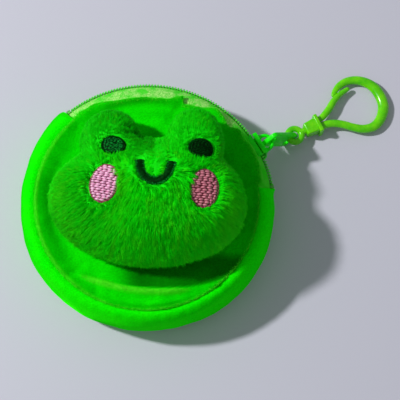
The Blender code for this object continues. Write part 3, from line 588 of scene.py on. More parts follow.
def add_round_lining(name, node, height_at):
    """A disc of lining cloth at a height given for each of its points."""
    lining = spun_disc(name, [r * MM for r in (0, 7, 14, 21, 27, 32, 36, 39.5, 42, 43.6, 44.8)], 72)
    cloth = points_of(lining)
    for point in cloth:
        point[2] = height_at(sqrt(point[0] ** 2 + point[1] ** 2), atan2(point[1], point[0]), point)
    set_points(lining, cloth)
    finish_with(lining, "SOLIDIFY", thickness=LINING_THICKNESS, offset=-1.0)
    lining.data.shade_smooth()
    lining.data.materials.append(woven_lining(name + "_cloth"))
    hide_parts(node)
    return lining


def under_front(radius, angle, point):
    slack = 0.5 * MM * (1 + ripple((point[0], point[1], 0), 9 * MM, 8.0))
    return front_height(radius, angle, (point[0], point[1], 0)) - 2.1 * MM - slack


def over_back(radius, angle, point):
    slack = 0.35 * MM * (1 + ripple((point[0], point[1], 0), 9 * MM, 9.0))
    return 2.3 * MM + slack + 0.5 * MM * (radius / LINING_RADIUS) ** 4


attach(add_round_lining("front_lining", "lining_front", under_front), "front")
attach(add_round_lining("back_lining", "lining_back", over_back), "pouch")

gusset_lining, turns, shares = spun_sheet("gusset_lining", 9, 120, ZIP_END + 0.03, GUSSET_SWEEP - 0.06)
places = [gusset_place(angle, 0.1 + 0.8 * share, 1.9 * MM) for angle, share in zip(turns, shares)]
set_points(gusset_lining, places)
finish_with(gusset_lining, "SOLIDIFY", thickness=LINING_THICKNESS, offset=-1.0)
gusset_lining.data.shade_smooth()
gusset_lining.data.materials.append(woven_lining("gusset_lining_cloth"))
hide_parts("lining_gusset")
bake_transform(gusset_lining)

# Zip tapes
# Two narrow woven tapes in a lighter green, sewn under the velour's edges. Each
# runs from its seam down to a nylon coil at the outside of the purse.
COIL_RADIUS = 52.2 * MM
COIL_HEIGHT = 17.0 * MM
SLIDER_ANGLE = radians(29.0)
SLIDER_LENGTH = 10.0 * MM
HALF_SLIDER = SLIDER_LENGTH / 2 / COIL_RADIUS
SEWN_END = 0.044
COILS_CLOSED = 0.95 * MM
COILS_PART = 1.0 * MM
TAPE_SEAMS = {1: (43.8 * MM, RIM_TOP - 1.6 * MM), -1: (47.16 * MM, RIM_BOTTOM + 0.2 * MM)}
TAPE_SAGS = {1: 1.5 * MM, -1: 0.35 * MM}
TAPE_PAST_END = 0.08
TAPE_THICKNESS = 0.6 * MM
TAPE_SEEN = 9 * MM


def round_at(angle):
    """The way out from the purse's middle at an angle."""
    return Vector((cos(angle), sin(angle), 0))


def coil_parting(angle):
    """Half the distance between the coils, which part from the slider to the zip's right end."""
    opened = 1 - step_between(angle, SLIDER_ANGLE - 0.4 * HALF_SLIDER, SLIDER_ANGLE + 0.3 * HALF_SLIDER)
    sewn_end = ZIP_START + SEWN_END
    return COILS_CLOSED + COILS_PART * min(opened, step_between(angle, sewn_end, sewn_end + 0.5 * HALF_SLIDER))


def coil_place(angle, side):
    return round_at(angle) * COIL_RADIUS + Vector((0, 0, COIL_HEIGHT + side * coil_parting(angle)))


def tape_place(angle, share, side):
    """A point of the tape, share 0 at its seam and 1 at the coil, with a slight sag and waves between them."""
    seam_radius, seam_height = TAPE_SEAMS[side]
    seam = round_at(angle) * seam_radius + Vector((0, 0, seam_height))
    coil = coil_place(angle, side)
    edge = coil + (seam - coil).normalized() * 0.75 * MM
    outward = (round_at(angle) + Vector((0, 0, 0.45 * side))).normalized()
    wave = 0.22 * MM * ripple((angle * COIL_RADIUS, 0, side), 8 * MM, 6.0) * sin(pi * share)
    return seam.lerp(edge, share) + outward * (TAPE_SAGS[side] * sin(pi * share) + wave)


def tape_weave(name):
    """Twill tape: fine slanting ribs, with pale flecks in patches, fewer towards the zip's right end."""
    material, tree, shader = finish_material(name, 0.75, 0.02, Sheen_Weight=0.3, Sheen_Tint=(0.08, 1.0, 0.03, 1.0))
    cloth = tree.nodes.new("ShaderNodeUVMap")
    cloth.uv_map = "cloth"
    slant = tree.nodes.new("ShaderNodeMapping")
    slant.inputs["Rotation"].default_value = (0, 0, radians(38))
    tree.links.new(cloth.outputs["UV"], slant.inputs["Vector"])
    ribs = tree.nodes.new("ShaderNodeTexWave")
    ribs.inputs["Scale"].default_value = 430
    ribs.inputs["Distortion"].default_value = 1.2
    ribs.inputs["Detail Scale"].default_value = 3.0
    tree.links.new(slant.outputs["Vector"], ribs.inputs["Vector"])
    rib_colour = add_ramp(tree, ribs.outputs["Fac"], [(0.2, (0.006, 0.60, 0.002)), (0.75, (0.04, 0.92, 0.012))])
    patches = grain(tree, 240, 5, (0.40, grey(0.15)), (0.56, grey(1.0)), 0.6)
    patchy = add_mix(tree, 1.0, patches, add_attribute(tree, "fleck_share"), "MULTIPLY")
    flecks = grain(tree, 2600, 3, (0.38, (0.07, 0.64, 0.02)), (0.60, (0.53, 0.97, 0.27)))
    tree.links.new(add_mix(tree, patchy, rib_colour, flecks), shader.inputs["Base Color"])
    add_bump(tree, shader, ribs.outputs["Fac"], 0.12 * MM, 0.7)
    return material


for label, side, seam_neighbour in (("front", 1, "front_velour"), ("back", -1, "back_velour")):
    sweep = ZIP_END - ZIP_START + 2 * TAPE_PAST_END
    tape, turns, shares = spun_sheet(f"tape_{label}", 7, 160, ZIP_START - TAPE_PAST_END, sweep)
    places = [tape_place(angle, share, side) for angle, share in zip(turns, shares)]
    for place, angle in zip(places, turns):
        past_end = max(ZIP_START - angle, angle - ZIP_END)
        place.xy *= 1 - 0.06 * step_between(past_end, 0.02, 0.075)
    set_points(tape, places)
    write_weave(tape, turns * COIL_RADIUS, shares * TAPE_SEEN)
    # Pale flecks show fully from 41 degrees round, and only a little on the stretch towards the zip's right end.
    mark(tape, "fleck_share", [0.15 + 0.85 * step_between(angle, radians(36), radians(41)) for angle in turns])
    if sum(face.normal.dot(face.center) for face in tape.data.polygons) < 0:
        tape.data.flip_normals()
    finish_with(tape, "SOLIDIFY", thickness=TAPE_THICKNESS, offset=-1.0)
    finish_with(tape, "SUBSURF", levels=1, render_levels=1)
    tape.data.shade_smooth()
    tape.data.materials.append(tape_weave(f"tape_{label}_weave"))
    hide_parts(f"zip_tape_{label}")
    if side > 0:
        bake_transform(tape)
    else:
        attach(tape, "pouch")

# Zip coils
# Each side of the zip is one nylon thread wound into a flat coil, about 80
# turns to the decimetre. Both coils mesh up to the slider.
COIL_PITCH = 1.25 * MM


def lay_copies(name, model, matrices):
    """One piece made of copies of a small model, each put at its own place."""
    corners = points_of(model)
    sides = [tuple(face.vertices) for face in model.data.polygons]
    spots = []
    faces = []
    for matrix in matrices:
        turn = np.array(matrix.to_3x3())
        shift = np.array(matrix.translation)
        first = len(spots) * len(corners)
        spots.append(corners @ turn.T + shift)
        faces += [tuple(first + corner for corner in side) for side in sides]
    mesh = bpy.data.meshes.new(name)
    mesh.from_pydata(np.concatenate(spots).tolist(), [], faces)
    mesh.shade_smooth()
    return linked(name, mesh)


def from_axes(along, across, place):
    """A matrix with its X along one direction and its Y near another."""
    x = along.normalized()
    z = x.cross(across).normalized()
    matrix = Matrix((x, z.cross(x), z)).transposed().to_4x4()
    matrix.translation = place
    return matrix


TURN_RADIUS = 0.56 * MM
TURN_WIRE = 0.25 * MM
TURN_SHAPE = (1.5, 0.95, 1.15)
TURN_SLANT = 0.28
coil_turn = added(
    bpy.ops.mesh.primitive_torus_add,
    major_radius=TURN_RADIUS, minor_radius=TURN_WIRE, major_segments=14, minor_segments=6,
)
edit(coil_turn)
bpy.ops.mesh.select_all(action="SELECT")
bpy.ops.transform.resize(value=TURN_SHAPE)
bpy.ops.object.mode_set(mode="OBJECT")
settle(coil_turn, "coil_turn")


def mottled(name, roughness, specular, colours, bump, **more):
    """A finish whose colour runs between two stops of a noise, with a bump: scale, detail, depth and strength."""
    material, tree, shader = finish_material(name, roughness, specular, **more)
    tree.links.new(grain(tree, *colours), shader.inputs["Base Color"])
    scale, detail, depth, strength = bump
    add_bump(tree, shader, add_noise(tree, scale, detail), depth, strength)
    return material


NYLON = (700, 2, (0.3, (0.02, 0.60, 0.008)), (0.75, (0.14, 0.95, 0.04)))
for label, side in (("front", 1), ("back", -1)):
    low = ZIP_START + SEWN_END
    high = ZIP_END - SEWN_END
    count = round((high - low) * COIL_RADIUS / COIL_PITCH)
    spots = []
    for i in range(count + 1):
        angle = low + (high - low) * (i + 0.5 * (side < 0)) / (count + 0.5)
        upright = from_axes(Vector((0, 0, 1)), round_at(angle), coil_place(angle, side))
        spots.append(upright @ Matrix.Rotation(TURN_SLANT * side, 4, "Y"))
    coil = lay_copies(f"coil_{label}", coil_turn, spots)
    coil.data.materials.append(mottled(f"coil_{label}_nylon", 0.38, 0.5, NYLON, (3000, 2, 0.05 * MM, 0.3)))
    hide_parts(f"zip_coil_{label}")
    if side > 0:
        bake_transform(coil)
    else:
        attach(coil, "pouch")
bpy.data.objects.remove(coil_turn)

# Zip stops
# A bar of close stitches over both coils at each end of the zip, in the tape's
# thread, so that the slider can't run off.
def thread_finish(name, dark, light, scale=2600.0, gloss=0.3):
    """Twisted, slightly glossy thread, darker and lighter in small patches."""
    return mottled(name, 0.42, gloss, (scale, 2, (0.3, dark), (0.7, light)), (4200, 1, 0.06 * MM, 0.4))


def cut_across(item, way, places):
    """Cuts the whole piece across a direction at each place, so that it can be bent there."""
    for place in places:
        edit(item)
        bpy.ops.mesh.select_all(action="SELECT")
        bpy.ops.mesh.bisect(plane_co=[place * share for share in way], plane_no=way)
        bpy.ops.object.mode_set(mode="OBJECT")


def one_stitch(name, length, width, height):
    """A short arched thread along X, with both ends pulled down."""
    stitch = added(bpy.ops.mesh.primitive_cylinder_add, vertices=6, radius=0.5, depth=1.0, rotation=(0, pi / 2, 0))
    bpy.ops.object.transform_apply(location=True, rotation=True)
    cut_across(stitch, (1, 0, 0), (-0.36, -0.18, 0.0, 0.18, 0.36))
    settle(stitch, name)
    thread = points_of(stitch)
    for point in thread:
        full = 1 - (2 * abs(point[0])) ** 2.5 * 0.72
        arch = 1 - (2 * abs(point[0])) ** 2
        point[1] *= width * full
        point[2] = height * (arch - 0.5) + point[2] * width * full
        point[0] *= length
    set_points(stitch, thread)
    return stitch


BAR_TURN = 0.0207
BAR_PITCH = 0.36 * MM
bar_stitch = one_stitch("bar_stitch", length=4.4 * MM, width=0.42 * MM, height=0.5 * MM)
for label, middle in (("left", ZIP_END - BAR_TURN), ("right", ZIP_START + BAR_TURN)):
    spots = []
    for i in range(5):
        angle = middle + (i - 2) * BAR_PITCH / COIL_RADIUS
        place = round_at(angle) * (COIL_RADIUS + 0.55 * MM) + Vector((0, 0, COIL_HEIGHT))
        spots.append(from_axes(Vector((0, 0, 1)), Vector((-sin(angle), cos(angle), 0)), place))
    bar = lay_copies(f"zip_bar_{label}", bar_stitch, spots)
    bar.data.materials.append(thread_finish(f"zip_bar_{label}_thread", (0.10, 0.48, 0.05), (0.26, 0.78, 0.16)))
    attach(bar, "pouch")
    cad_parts[f"zip_stop_{label}"].data.materials.clear()
    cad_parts[f"zip_stop_{label}"].data.materials.append(bar.data.materials[0])
bpy.data.objects.remove(bar_stitch)

# Slider and puller
# A cast slider that runs on both coils, its bail, and a flat puller on it, all
# dipped in the same green lacquer, paler in patches.
def lacquer(name, deep, bright):
    material, tree, shader = finish_material(name, 0.38, 0.12, Coat_Weight=0.08, Coat_Roughness=0.2)
    patchy = grain(tree, 320, 4, (0.55, deep), (0.80, bright), 0.5)
    mottling = grain(tree, 900, 3, (0.35, grey(0.85)), (0.65, grey(1.1)))
    tree.links.new(add_mix(tree, 1.0, patchy, mottling, "MULTIPLY"), shader.inputs["Base Color"])
    add_bump(tree, shader, add_noise(tree, 500, 2), 0.08 * MM, 0.25)
    return material


slider_lacquer = lacquer("slider_lacquer", (0.004, 0.90, 0.001), (0.04, 1.0, 0.004))


def block(size, place):
    """A box of three sizes with its middle at a place."""
    box = added(bpy.ops.mesh.primitive_cube_add, size=1.0, location=place)
    box.scale = size
    bpy.ops.object.transform_apply(location=True, scale=True)
    return box


def rounded(item, width, segments, **settings):
    """Rounds the sharp edges of a piece."""
    finish_with(item, "BEVEL", width=width, segments=segments, limit_method="ANGLE", **settings)


def joined(parts):
    """All the parts in one mesh, which is the first one's."""
    select_only(parts[0])
    for part in parts:
        part.select_set(True)
    bpy.ops.object.join()
    return parts[0]


def smooth_to(item, angle):
    """Shades smooth over every edge that turns less than an angle."""
    select_only(item)
    bpy.ops.object.shade_smooth_by_angle(angle=radians(angle))


def bent_rod(name, points, radii):
    """A round rod along a line of points, with a radius at each."""
    curve = bpy.data.curves.new(name, "CURVE")
    curve.dimensions = "3D"
    curve.bevel_depth = 1.0
    curve.bevel_resolution = 6
    curve.use_fill_caps = True
    line = curve.splines.new("POLY")
    line.points.add(len(points) - 1)
    for knot, point, radius in zip(line.points, points, radii):
        knot.co = (*point, 1.0)
        knot.radius = radius
    select_only(linked(name, curve))
    bpy.ops.object.convert(target="MESH")
    rod = bpy.context.object
    edit(rod)
    leave_edit()
    settle(rod, name)
    rod.data.shade_smooth()
    return rod


def rounded_ends(points, radii):
    """The same line with its two ends drawn in to a dome."""
    first = (points[0] - points[1]).normalized()
    last = (points[-1] - points[-2]).normalized()
    domes = ((0.0, 1.0), (0.38, 0.92), (0.7, 0.71), (0.92, 0.38), (0.99, 0.12))
    start = [(points[0] + first * radii[0] * reach, radii[0] * size) for reach, size in reversed(domes)]
    end = [(points[-1] + last * radii[-1] * reach, radii[-1] * size) for reach, size in domes]
    middle = list(zip(points[1:-1], radii[1:-1]))
    line = start + middle + end
    return [place for place, _ in line], [radius for _, radius in line]


def put(item, matrix, name):
    """Moves a finished shape into place, with its place in its mesh."""
    item.data.transform(matrix)
    item.data.update()
    item.name = name
    item.data.name = name


PLATE_THICKNESS = 0.95 * MM
PLATE_OFFSET = 1.79 * MM
PLATE_WIDTH = 9.2 * MM
TAIL_WIDTH = 7.4 * MM
FLANGE_FROM = 3.85 * MM
FLANGE_DEPTH = 1.1 * MM
slider_parts = []
for side in (1, -1):
    middle = COIL_RADIUS + side * PLATE_OFFSET
    plate = block((PLATE_THICKNESS, SLIDER_LENGTH, PLATE_WIDTH), (middle, 0, 0))
    cut_across(plate, (0, 0, 1), (FLANGE_FROM, -FLANGE_FROM))
    edit(plate, "FACE")
    shape = bmesh.from_edit_mesh(plate.data)
    for face in shape.faces:
        face.select = face.normal.x * side < -0.9 and abs(face.calc_center_median().z) > FLANGE_FROM
    bmesh.update_edit_mesh(plate.data)
    bpy.ops.mesh.extrude_region_move(TRANSFORM_OT_translate={"value": (-side * FLANGE_DEPTH, 0, 0)})
    bpy.ops.mesh.select_mode(type="VERT")
    bpy.ops.mesh.select_all(action="DESELECT")
    select_where(plate, lambda place: place.y > 0)
    bpy.ops.transform.resize(value=(1, 1, TAIL_WIDTH / PLATE_WIDTH), center_override=(middle, 0, 0))
    leave_edit()
    slider_parts.append(plate)
# The post between the plates and the two lugs that hold the bail: their places and sizes, in mm
LUGS = (((0, -3.1, 0), (3.2, 2.0, 2.2)), ((2.7, -3.1, 0), (1.9, 1.9, 2.0)), ((2.7, 3.1, 0), (1.9, 1.9, 2.0)))
for place, size in LUGS:
    slider_parts.append(block(Vector(size) * MM, Vector((COIL_RADIUS, 0, 0)) + Vector(place) * MM))
for part in slider_parts:
    rounded(part, 0.32 * MM, 3)
slider = joined(slider_parts)
settle(slider, "slider_casting")
smooth_to(slider, 40)
slider_place = Matrix.Rotation(SLIDER_ANGLE, 4, "Z") @ Matrix.Translation((0, 0, COIL_HEIGHT))
slider.data.transform(slider_place)
slider.data.materials.append(slider_lacquer)
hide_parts("slider_body")
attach(slider, "slider")

BAIL_WIRE = 0.75 * MM
BAIL_BEND = 2.5 * MM
bail_radius = COIL_RADIUS + 6.9 * MM
foot = COIL_RADIUS + 2.7 * MM
arch = [Vector((foot, -3.2 * MM, 0)), Vector((foot + 1.4 * MM, -3.2 * MM, 0))]
for i in range(15):
    turn = pi * (i / 14 - 0.5)
    arch.append(Vector((bail_radius - BAIL_BEND + BAIL_BEND * cos(turn), 3.1 * MM * sin(turn), 0)))
arch += [Vector((foot + 1.4 * MM, 3.2 * MM, 0)), Vector((foot, 3.2 * MM, 0))]
bail = bent_rod("bail", arch, [BAIL_WIRE] * len(arch))
put(bail, slider_place, "bail_wire")
bail.data.materials.append(slider_lacquer)
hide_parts("slider_bail")
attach(bail, "slider")

outward = round_at(SLIDER_ANGLE)
bail_point = outward * bail_radius + Vector((0, 0, COIL_HEIGHT))
PULLER_SLOPE = radians(55.0)
puller_down = outward * cos(PULLER_SLOPE) - Vector((0, 0, sin(PULLER_SLOPE)))
puller_across = outward * sin(PULLER_SLOPE) + Vector((0, 0, cos(PULLER_SLOPE)))
puller_place = from_axes(puller_down, puller_across, bail_point)
PULLER_START = -2.8 * MM
PULLER_LENGTH = 21.4 * MM
PULLER_WIDTH = 8.2 * MM
PULLER_THICKNESS = 2.0 * MM
RING_HOLE = 15.0
puller = block((PULLER_LENGTH, PULLER_WIDTH, PULLER_THICKNESS), (PULLER_START + PULLER_LENGTH / 2, 0, 0))
edit(puller, "EDGE")
shape = bmesh.from_edit_mesh(puller.data)
for edge in shape.edges:
    edge.select = abs(edge.verts[0].co.z - edge.verts[1].co.z) > PULLER_THICKNESS / 2
bmesh.update_edit_mesh(puller.data)
bpy.ops.mesh.bevel(offset=1.8 * MM, segments=6)
leave_edit()
settle(puller, "puller_plate")
for middle, length, width in ((0.0, 3.0, 4.2), (RING_HOLE, 4.0, 4.6)):
    hole = block((length * MM, width * MM, 3 * PULLER_THICKNESS), (middle * MM, 0, 0))
    rounded(hole, 0.7 * MM, 3)
    finish_with(puller, "BOOLEAN", operation="DIFFERENCE", solver="EXACT", object=hole)
    bpy.data.objects.remove(hole)
rounded(puller, 0.3 * MM, 3, angle_limit=radians(50))
puller.data.transform(puller_place)
puller.data.update()
smooth_to(puller, 35)
# The puller's lacquer is the slider's made a little lighter and yellower, as painted light on the puller's shaded face.
puller.data.materials.append(lacquer("puller_lacquer", (0.008, 0.95, 0.002), (0.07, 1.0, 0.004)))
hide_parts("puller_tab")
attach(puller, "puller")

# Swivel clip
# A moulded clip in lime plastic: a ring through the puller, whose stem turns in
# a square collar, and a hook closed by a springy tongue that snaps in its nose.
ring_point = bail_point + puller_down * 15.0 * MM + puller_across * 0.6 * MM + puller_down * 0.45 * MM
RING_RADIUS = 3.0 * MM
RING_WIRE = 1.35 * MM
ring_centre = ring_point + outward * RING_RADIUS
CLIP_YAW = radians(26.2)
clip_along = Vector((0.89546, 0.44062, -0.06325)).normalized()
clip_place = from_axes(clip_along, Vector((-sin(CLIP_YAW), cos(CLIP_YAW), 0)), ring_centre)


def lime_plastic(name):
    """Glossy moulded plastic that lets a little light through, with a faint cloudiness and fine scuffs."""
    glow = {"Subsurface_Weight": 0.25, "Subsurface_Radius": (0.4, 1.0, 0.1), "Subsurface_Scale": 0.8 * MM}
    material, tree, shader = finish_material(name, 0.24, 0.32, **glow, Coat_Weight=0.12, Coat_Roughness=0.15)
    cloudy = grain(tree, 260, 3, (0.3, (0.075, 0.58, 0.0)), (0.7, (0.19, 0.78, 0.001)))
    tree.links.new(cloudy, shader.inputs["Base Color"])
    tree.links.new(grain(tree, 900, 4, (0.45, grey(0.20)), (0.75, grey(0.42))), shader.inputs["Roughness"])
    add_bump(tree, shader, add_noise(tree, 600, 2), 0.05 * MM, 0.3)
    return material


clip_plastic = lime_plastic("clip_lime")
ring = added(
    bpy.ops.mesh.primitive_torus_add,
    major_radius=RING_RADIUS, minor_radius=RING_WIRE, major_segments=48, minor_segments=18,
)
settle(ring, "swivel_ring")
stem = added(
    bpy.ops.mesh.primitive_cylinder_add,
    vertices=32, radius=1.5 * MM, depth=5.2 * MM, location=(5.6 * MM, 0, 0), rotation=(0, pi / 2, 0),
)
bpy.ops.object.transform_apply(location=True, rotation=True)
finish_with(ring, "BOOLEAN", operation="UNION", solver="EXACT", object=stem)
bpy.data.objects.remove(stem)
rounded(ring, 0.35 * MM, 3, angle_limit=radians(40))
put(ring, clip_place, "swivel_ring")
smooth_to(ring, 40)
ring.data.materials.clear()
ring.data.materials.append(clip_plastic)
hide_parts("swivel_eye")
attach(ring, "eye")

COLLAR_START = 4.95 * MM
COLLAR_END = 12.0 * MM
COLLAR_BORE = 1.1 * MM
FLANGE_THICKNESS = 1.8 * MM
collar_length = COLLAR_END - COLLAR_START
collar = block((collar_length, 6.6 * MM, 5.8 * MM), ((COLLAR_START + COLLAR_END) / 2, 0, 0))
edit(collar, "FACE")
select_where(collar, lambda place: place.x < COLLAR_START + 0.1 * MM)
bpy.ops.transform.resize(value=(1, 0.82, 0.82), center_override=(COLLAR_START, 0, 0))
bpy.ops.object.mode_set(mode="OBJECT")
rounded(collar, 0.9 * MM, 5)
edit(collar, "FACE")
select_where(collar, lambda place: place.x < COLLAR_START + 0.02 * MM)
bpy.ops.mesh.inset(thickness=0.35 * MM)
bpy.ops.mesh.extrude_region_move(TRANSFORM_OT_translate={"value": (COLLAR_BORE, 0, 0)})
leave_edit()
flange = block((FLANGE_THICKNESS, 8.2 * MM, 7.2 * MM), (COLLAR_END - FLANGE_THICKNESS / 2, 0, 0))
finish_with(flange, "BEVEL", width=0.5 * MM, segments=4)


def through(knots, steps):
    """A smooth line through knots of a place in the clip's plane and a radius, all in mm."""
    knots = np.array(knots, float)
    ends = np.concatenate([2 * knots[:1] - knots[1:2], knots, 2 * knots[-1:] - knots[-2:-1]])
    points, radii = [], []
    for i in range(steps + 1):
        whole = min(int(i / steps * (len(knots) - 1)), len(knots) - 2)
        t = i / steps * (len(knots) - 1) - whole
        a, b, c, d = ends[whole:whole + 4]
        cubic = (3 * b - a - 3 * c + d) * t ** 3
        x, y, radius = 0.5 * (2 * b + (c - a) * t + (2 * a - 5 * b + 4 * c - d) * t * t + cubic) * MM
        points.append(Vector((x, y, 0)))
        radii.append(radius)
    return points, radii


HOOK_FLATNESS = 0.81
HOOK_LINE = [
    (10.0, -1.5, 1.45), (12.0, -1.25, 1.6), (14.1, -1.25, 1.65), (17.7, -2.2, 1.7), (21.4, -4.5, 1.7),
    (24.6, -7.4, 1.75), (28.2, -9.9, 1.85), (32.3, -10.9, 2.0), (36.2, -9.8, 2.15), (39.4, -7.1, 2.3),
    (41.5, -3.7, 2.4), (42.2, 0.6, 2.4), (41.6, 5.0, 2.3), (39.5, 8.6, 2.1), (36.2, 11.3, 1.9),
    (32.2, 12.6, 1.7), (28.6, 12.3, 1.5), (25.6, 10.9, 1.25), (23.8, 9.4, 0.95),
]
hook = joined([bent_rod("hook_rod", *rounded_ends(*through(HOOK_LINE, 110))), collar, flange])
flattened = points_of(hook)
flattened[:, 2] *= np.where(flattened[:, 0] > COLLAR_END + 0.01 * MM, HOOK_FLATNESS, 1.0)
set_points(hook, flattened)
put(hook, clip_place, "hook_moulding")
smooth_to(hook, 40)
hook.data.materials.clear()
hook.data.materials.append(clip_plastic)
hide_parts("hook_body")
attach(hook, "hook")

GATE_LINE = [
    (12.9, 2.0, 1.35), (15.3, 2.6, 1.5), (19.2, 4.5, 1.6), (22.1, 6.5, 1.5),
    (24.6, 7.8, 1.35), (27.0, 8.6, 1.2), (30.6, 9.2, 1.0),
]
gate = bent_rod("gate", *rounded_ends(*through(GATE_LINE, 44)))
put(gate, clip_place, "gate_tongue")
gate.data.materials.append(clip_plastic)
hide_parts("hook_gate")
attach(gate, "gate")

# Head skin
# The frog's head is one cushion of long-pile plush, cut with its two eye bumps,
# stuffed, and sewn down to the front panel all round its base.
HEAD_PLACE = Matrix.Translation(Vector((1.3, -3.8, 33.5)) * MM) @ Matrix.Rotation(radians(-3.1), 4, "Z")
HEAD_BASE = -5.0 * MM
SEWN_EDGE = 1.0 * MM
DRAWN_IN = 0.02
SKIN_SWELL = 1.5 * MM
PLUSH_BACKING = 1.0 * MM


def normals_of(item):
    ways = np.empty(len(item.data.vertices) * 3)
    item.data.vertices.foreach_get("normal", ways)
    return ways.reshape(-1, 3)


def in_order(item):
    """Numbers the points and faces by their places, so that every run goes on from the same mesh."""
    places = points_of(item)
    order = np.lexsort(places.T)
    rank = np.argsort(order).tolist()
    rings = []
    for face in item.data.polygons:
        ring = [rank[corner] for corner in face.vertices]
        lowest = ring.index(min(ring))
        rings.append(ring[lowest:] + ring[:lowest])
    item.data.clear_geometry()
    item.data.from_pydata(places[order], [], sorted(rings))


# Each lump's middle, and how far it reaches along X, Y and Z, in mm from HEAD_PLACE
HEAD_LUMPS = (
    ((0, 0, 0), (38.2, 25.7, 16.1)),
    ((-16.7, 22.9, 2.8), (11.2, 12.6, 10.4)),
    ((17.4, 23.9, 2.8), (10.4, 14.2, 10.4)),
)
FULLNESS = 2.7
CHIN_SHARE = 0.94
lumps = []
for middle, half in HEAD_LUMPS:
    place = Vector(middle) * MM
    lump = added(bpy.ops.mesh.primitive_uv_sphere_add, segments=56, ring_count=28, radius=1.0, location=place)
    ball = points_of(lump)
    out = np.hypot(ball[:, 0], ball[:, 1]) ** FULLNESS + np.abs(ball[:, 2]) ** FULLNESS
    set_points(lump, ball / (out ** (1 / FULLNESS))[:, None])
    lump.scale = Vector(half) * MM
    bpy.ops.object.transform_apply(location=True, scale=True)
    lumps.append(lump)
head_skin = joined(lumps)
settle(head_skin, "head_skin")
places = points_of(head_skin)
places[:, 1] *= np.where(places[:, 1] < 0, CHIN_SHARE, 1.0)
set_points(head_skin, places)
finish_with(head_skin, "REMESH", mode="VOXEL", voxel_size=1.3 * MM)
in_order(head_skin)
finish_with(head_skin, "SMOOTH", factor=0.6, iterations=16)
edit(head_skin)
bpy.ops.mesh.select_all(action="SELECT")
bpy.ops.mesh.bisect(plane_co=(0, 0, HEAD_BASE), plane_no=(0, 0, 1), clear_inner=True)
bpy.ops.mesh.select_all(action="DESELECT")
bpy.ops.mesh.select_non_manifold()
bpy.ops.mesh.extrude_region_move(TRANSFORM_OT_translate={"value": (0, 0, -SEWN_EDGE)})
leave_edit()
in_order(head_skin)
head_skin.data.transform(HEAD_PLACE)
places = points_of(head_skin)
sewn_down = places[:, 2] < HEAD_PLACE.translation.z + HEAD_BASE - SEWN_EDGE / 2
for place, sewn in zip(places, sewn_down):
    if sewn:
        radius = sqrt(place[0] ** 2 + place[1] ** 2)
        place[:2] -= (place[:2] - np.array(HEAD_PLACE.translation[:2])) * DRAWN_IN
        place[2] = front_height(radius, atan2(place[1], place[0]), (place[0], place[1], 0))
        place[2] -= (max(0.0, from_fold(place[0] / MM, place[1] / MM)[2]) - 0.1) * MM
set_points(head_skin, places)

# The stuffing's push is worked out at eight times the size, where cloth behaves best
start = points_of(head_skin)
outward = normals_of(head_skin) * np.where(sewn_down, 0, 1)[:, None]
TIMES = 8.0
FRAMES = 20
PRESSURE = 40.0
set_points(head_skin, (start + outward * 0.6 * SKIN_SWELL) * TIMES)
seam = head_skin.vertex_groups.new(name="seam")
seam.add([int(i) for i in np.flatnonzero(sewn_down)], 1.0, "REPLACE")
stuffed = head_skin.modifiers.new("Stuffed", "CLOTH")
stuffed.settings.vertex_group_mass = "seam"
stuffed.settings.use_pressure = True
stuffed.settings.uniform_pressure_force = PRESSURE
stuffed.settings.effector_weights.gravity = 0.0
stuffed.settings.quality = 6
stuffed.point_cache.frame_start = 1
stuffed.point_cache.frame_end = FRAMES
for frame_number in range(1, FRAMES + 1):
    bpy.context.scene.frame_set(frame_number)
swollen = head_skin.evaluated_get(bpy.context.evaluated_depsgraph_get())
pushed = points_of(swollen) / TIMES
head_skin.modifiers.remove(stuffed)
head_skin.vertex_groups.clear()
bpy.context.scene.frame_set(1)
moved = pushed - start
distance = np.linalg.norm(moved, axis=1)
moved *= np.minimum(1.0, 1.3 * SKIN_SWELL / np.maximum(distance, 1e-9))[:, None]
set_points(head_skin, start + moved)

# Where thread goes through it, the plush is pulled down flat. An oval's middle across and up the
# face, its width and height, in mm, and its lean
LEFT_EYE = (-14.9, 19.0, 10.2, 8.2, 0.0)
RIGHT_EYE = (19.7, 19.9, 10.2, 8.2, 0.0)
LEFT_CHEEK = (-17.15, 2.5, 11.4, 15.8, radians(-9.0))
RIGHT_CHEEK = (21.95, 2.9, 11.4, 15.8, 0.0)
SMILE_MIDDLE = 2.4
SMILE_TOP = 13.0
SMILE_WIDTH = 12.5
SMILE_DEPTH = 8.6
SMILE_STROKE = 3.7
PATCHES = (LEFT_EYE, RIGHT_EYE, LEFT_CHEEK, RIGHT_CHEEK)


def patch_reach(u, v, patch):
    """How far out a point of the face lies from a patch's middle: 1 at its edge, and the way out from it."""
    across, up, width, height, lean = patch
    du, dv = u - across, v - up
    x = (du * cos(lean) + dv * sin(lean)) / (width / 2)
    y = (-du * sin(lean) + dv * cos(lean)) / (height / 2)
    out_x, out_y = x / (width / 2), y / (height / 2)
    out = Vector((out_x * cos(lean) - out_y * sin(lean), out_x * sin(lean) + out_y * cos(lean)))
    return sqrt(x * x + y * y), out


def smile_point(share):
    """A point of the smile's middle line, and its direction, as the line goes from 0 to 1."""
    turn = pi + pi * share
    place = Vector((SMILE_MIDDLE + SMILE_WIDTH / 2 * cos(turn), SMILE_TOP + SMILE_DEPTH * sin(turn)))
    along = Vector((-SMILE_WIDTH / 2 * sin(turn), SMILE_DEPTH * cos(turn)))
    return place, along.normalized()


smile_line = [smile_point(i / 40)[0] for i in range(41)]


def smile_reach(u, v):
    nearest = min(smile_line, key=lambda point: (point.x - u) ** 2 + (point.y - v) ** 2)
    out = Vector((u, v)) - nearest
    return out.length / (SMILE_STROKE / 2), out


def pulled_down(u, v):
    """1 under thread, and less to 0 about 1.5 mm past it."""
    most = 0.0
    for patch in PATCHES:
        past = (patch_reach(u, v, patch)[0] - 1) * min(patch[2], patch[3]) / 2
        most = max(most, 1 - past / 1.6)
    past = (smile_reach(u, v)[0] - 1) * SMILE_STROKE / 2
    return step_between(max(most, 1 - past / 1.4), 0, 1)


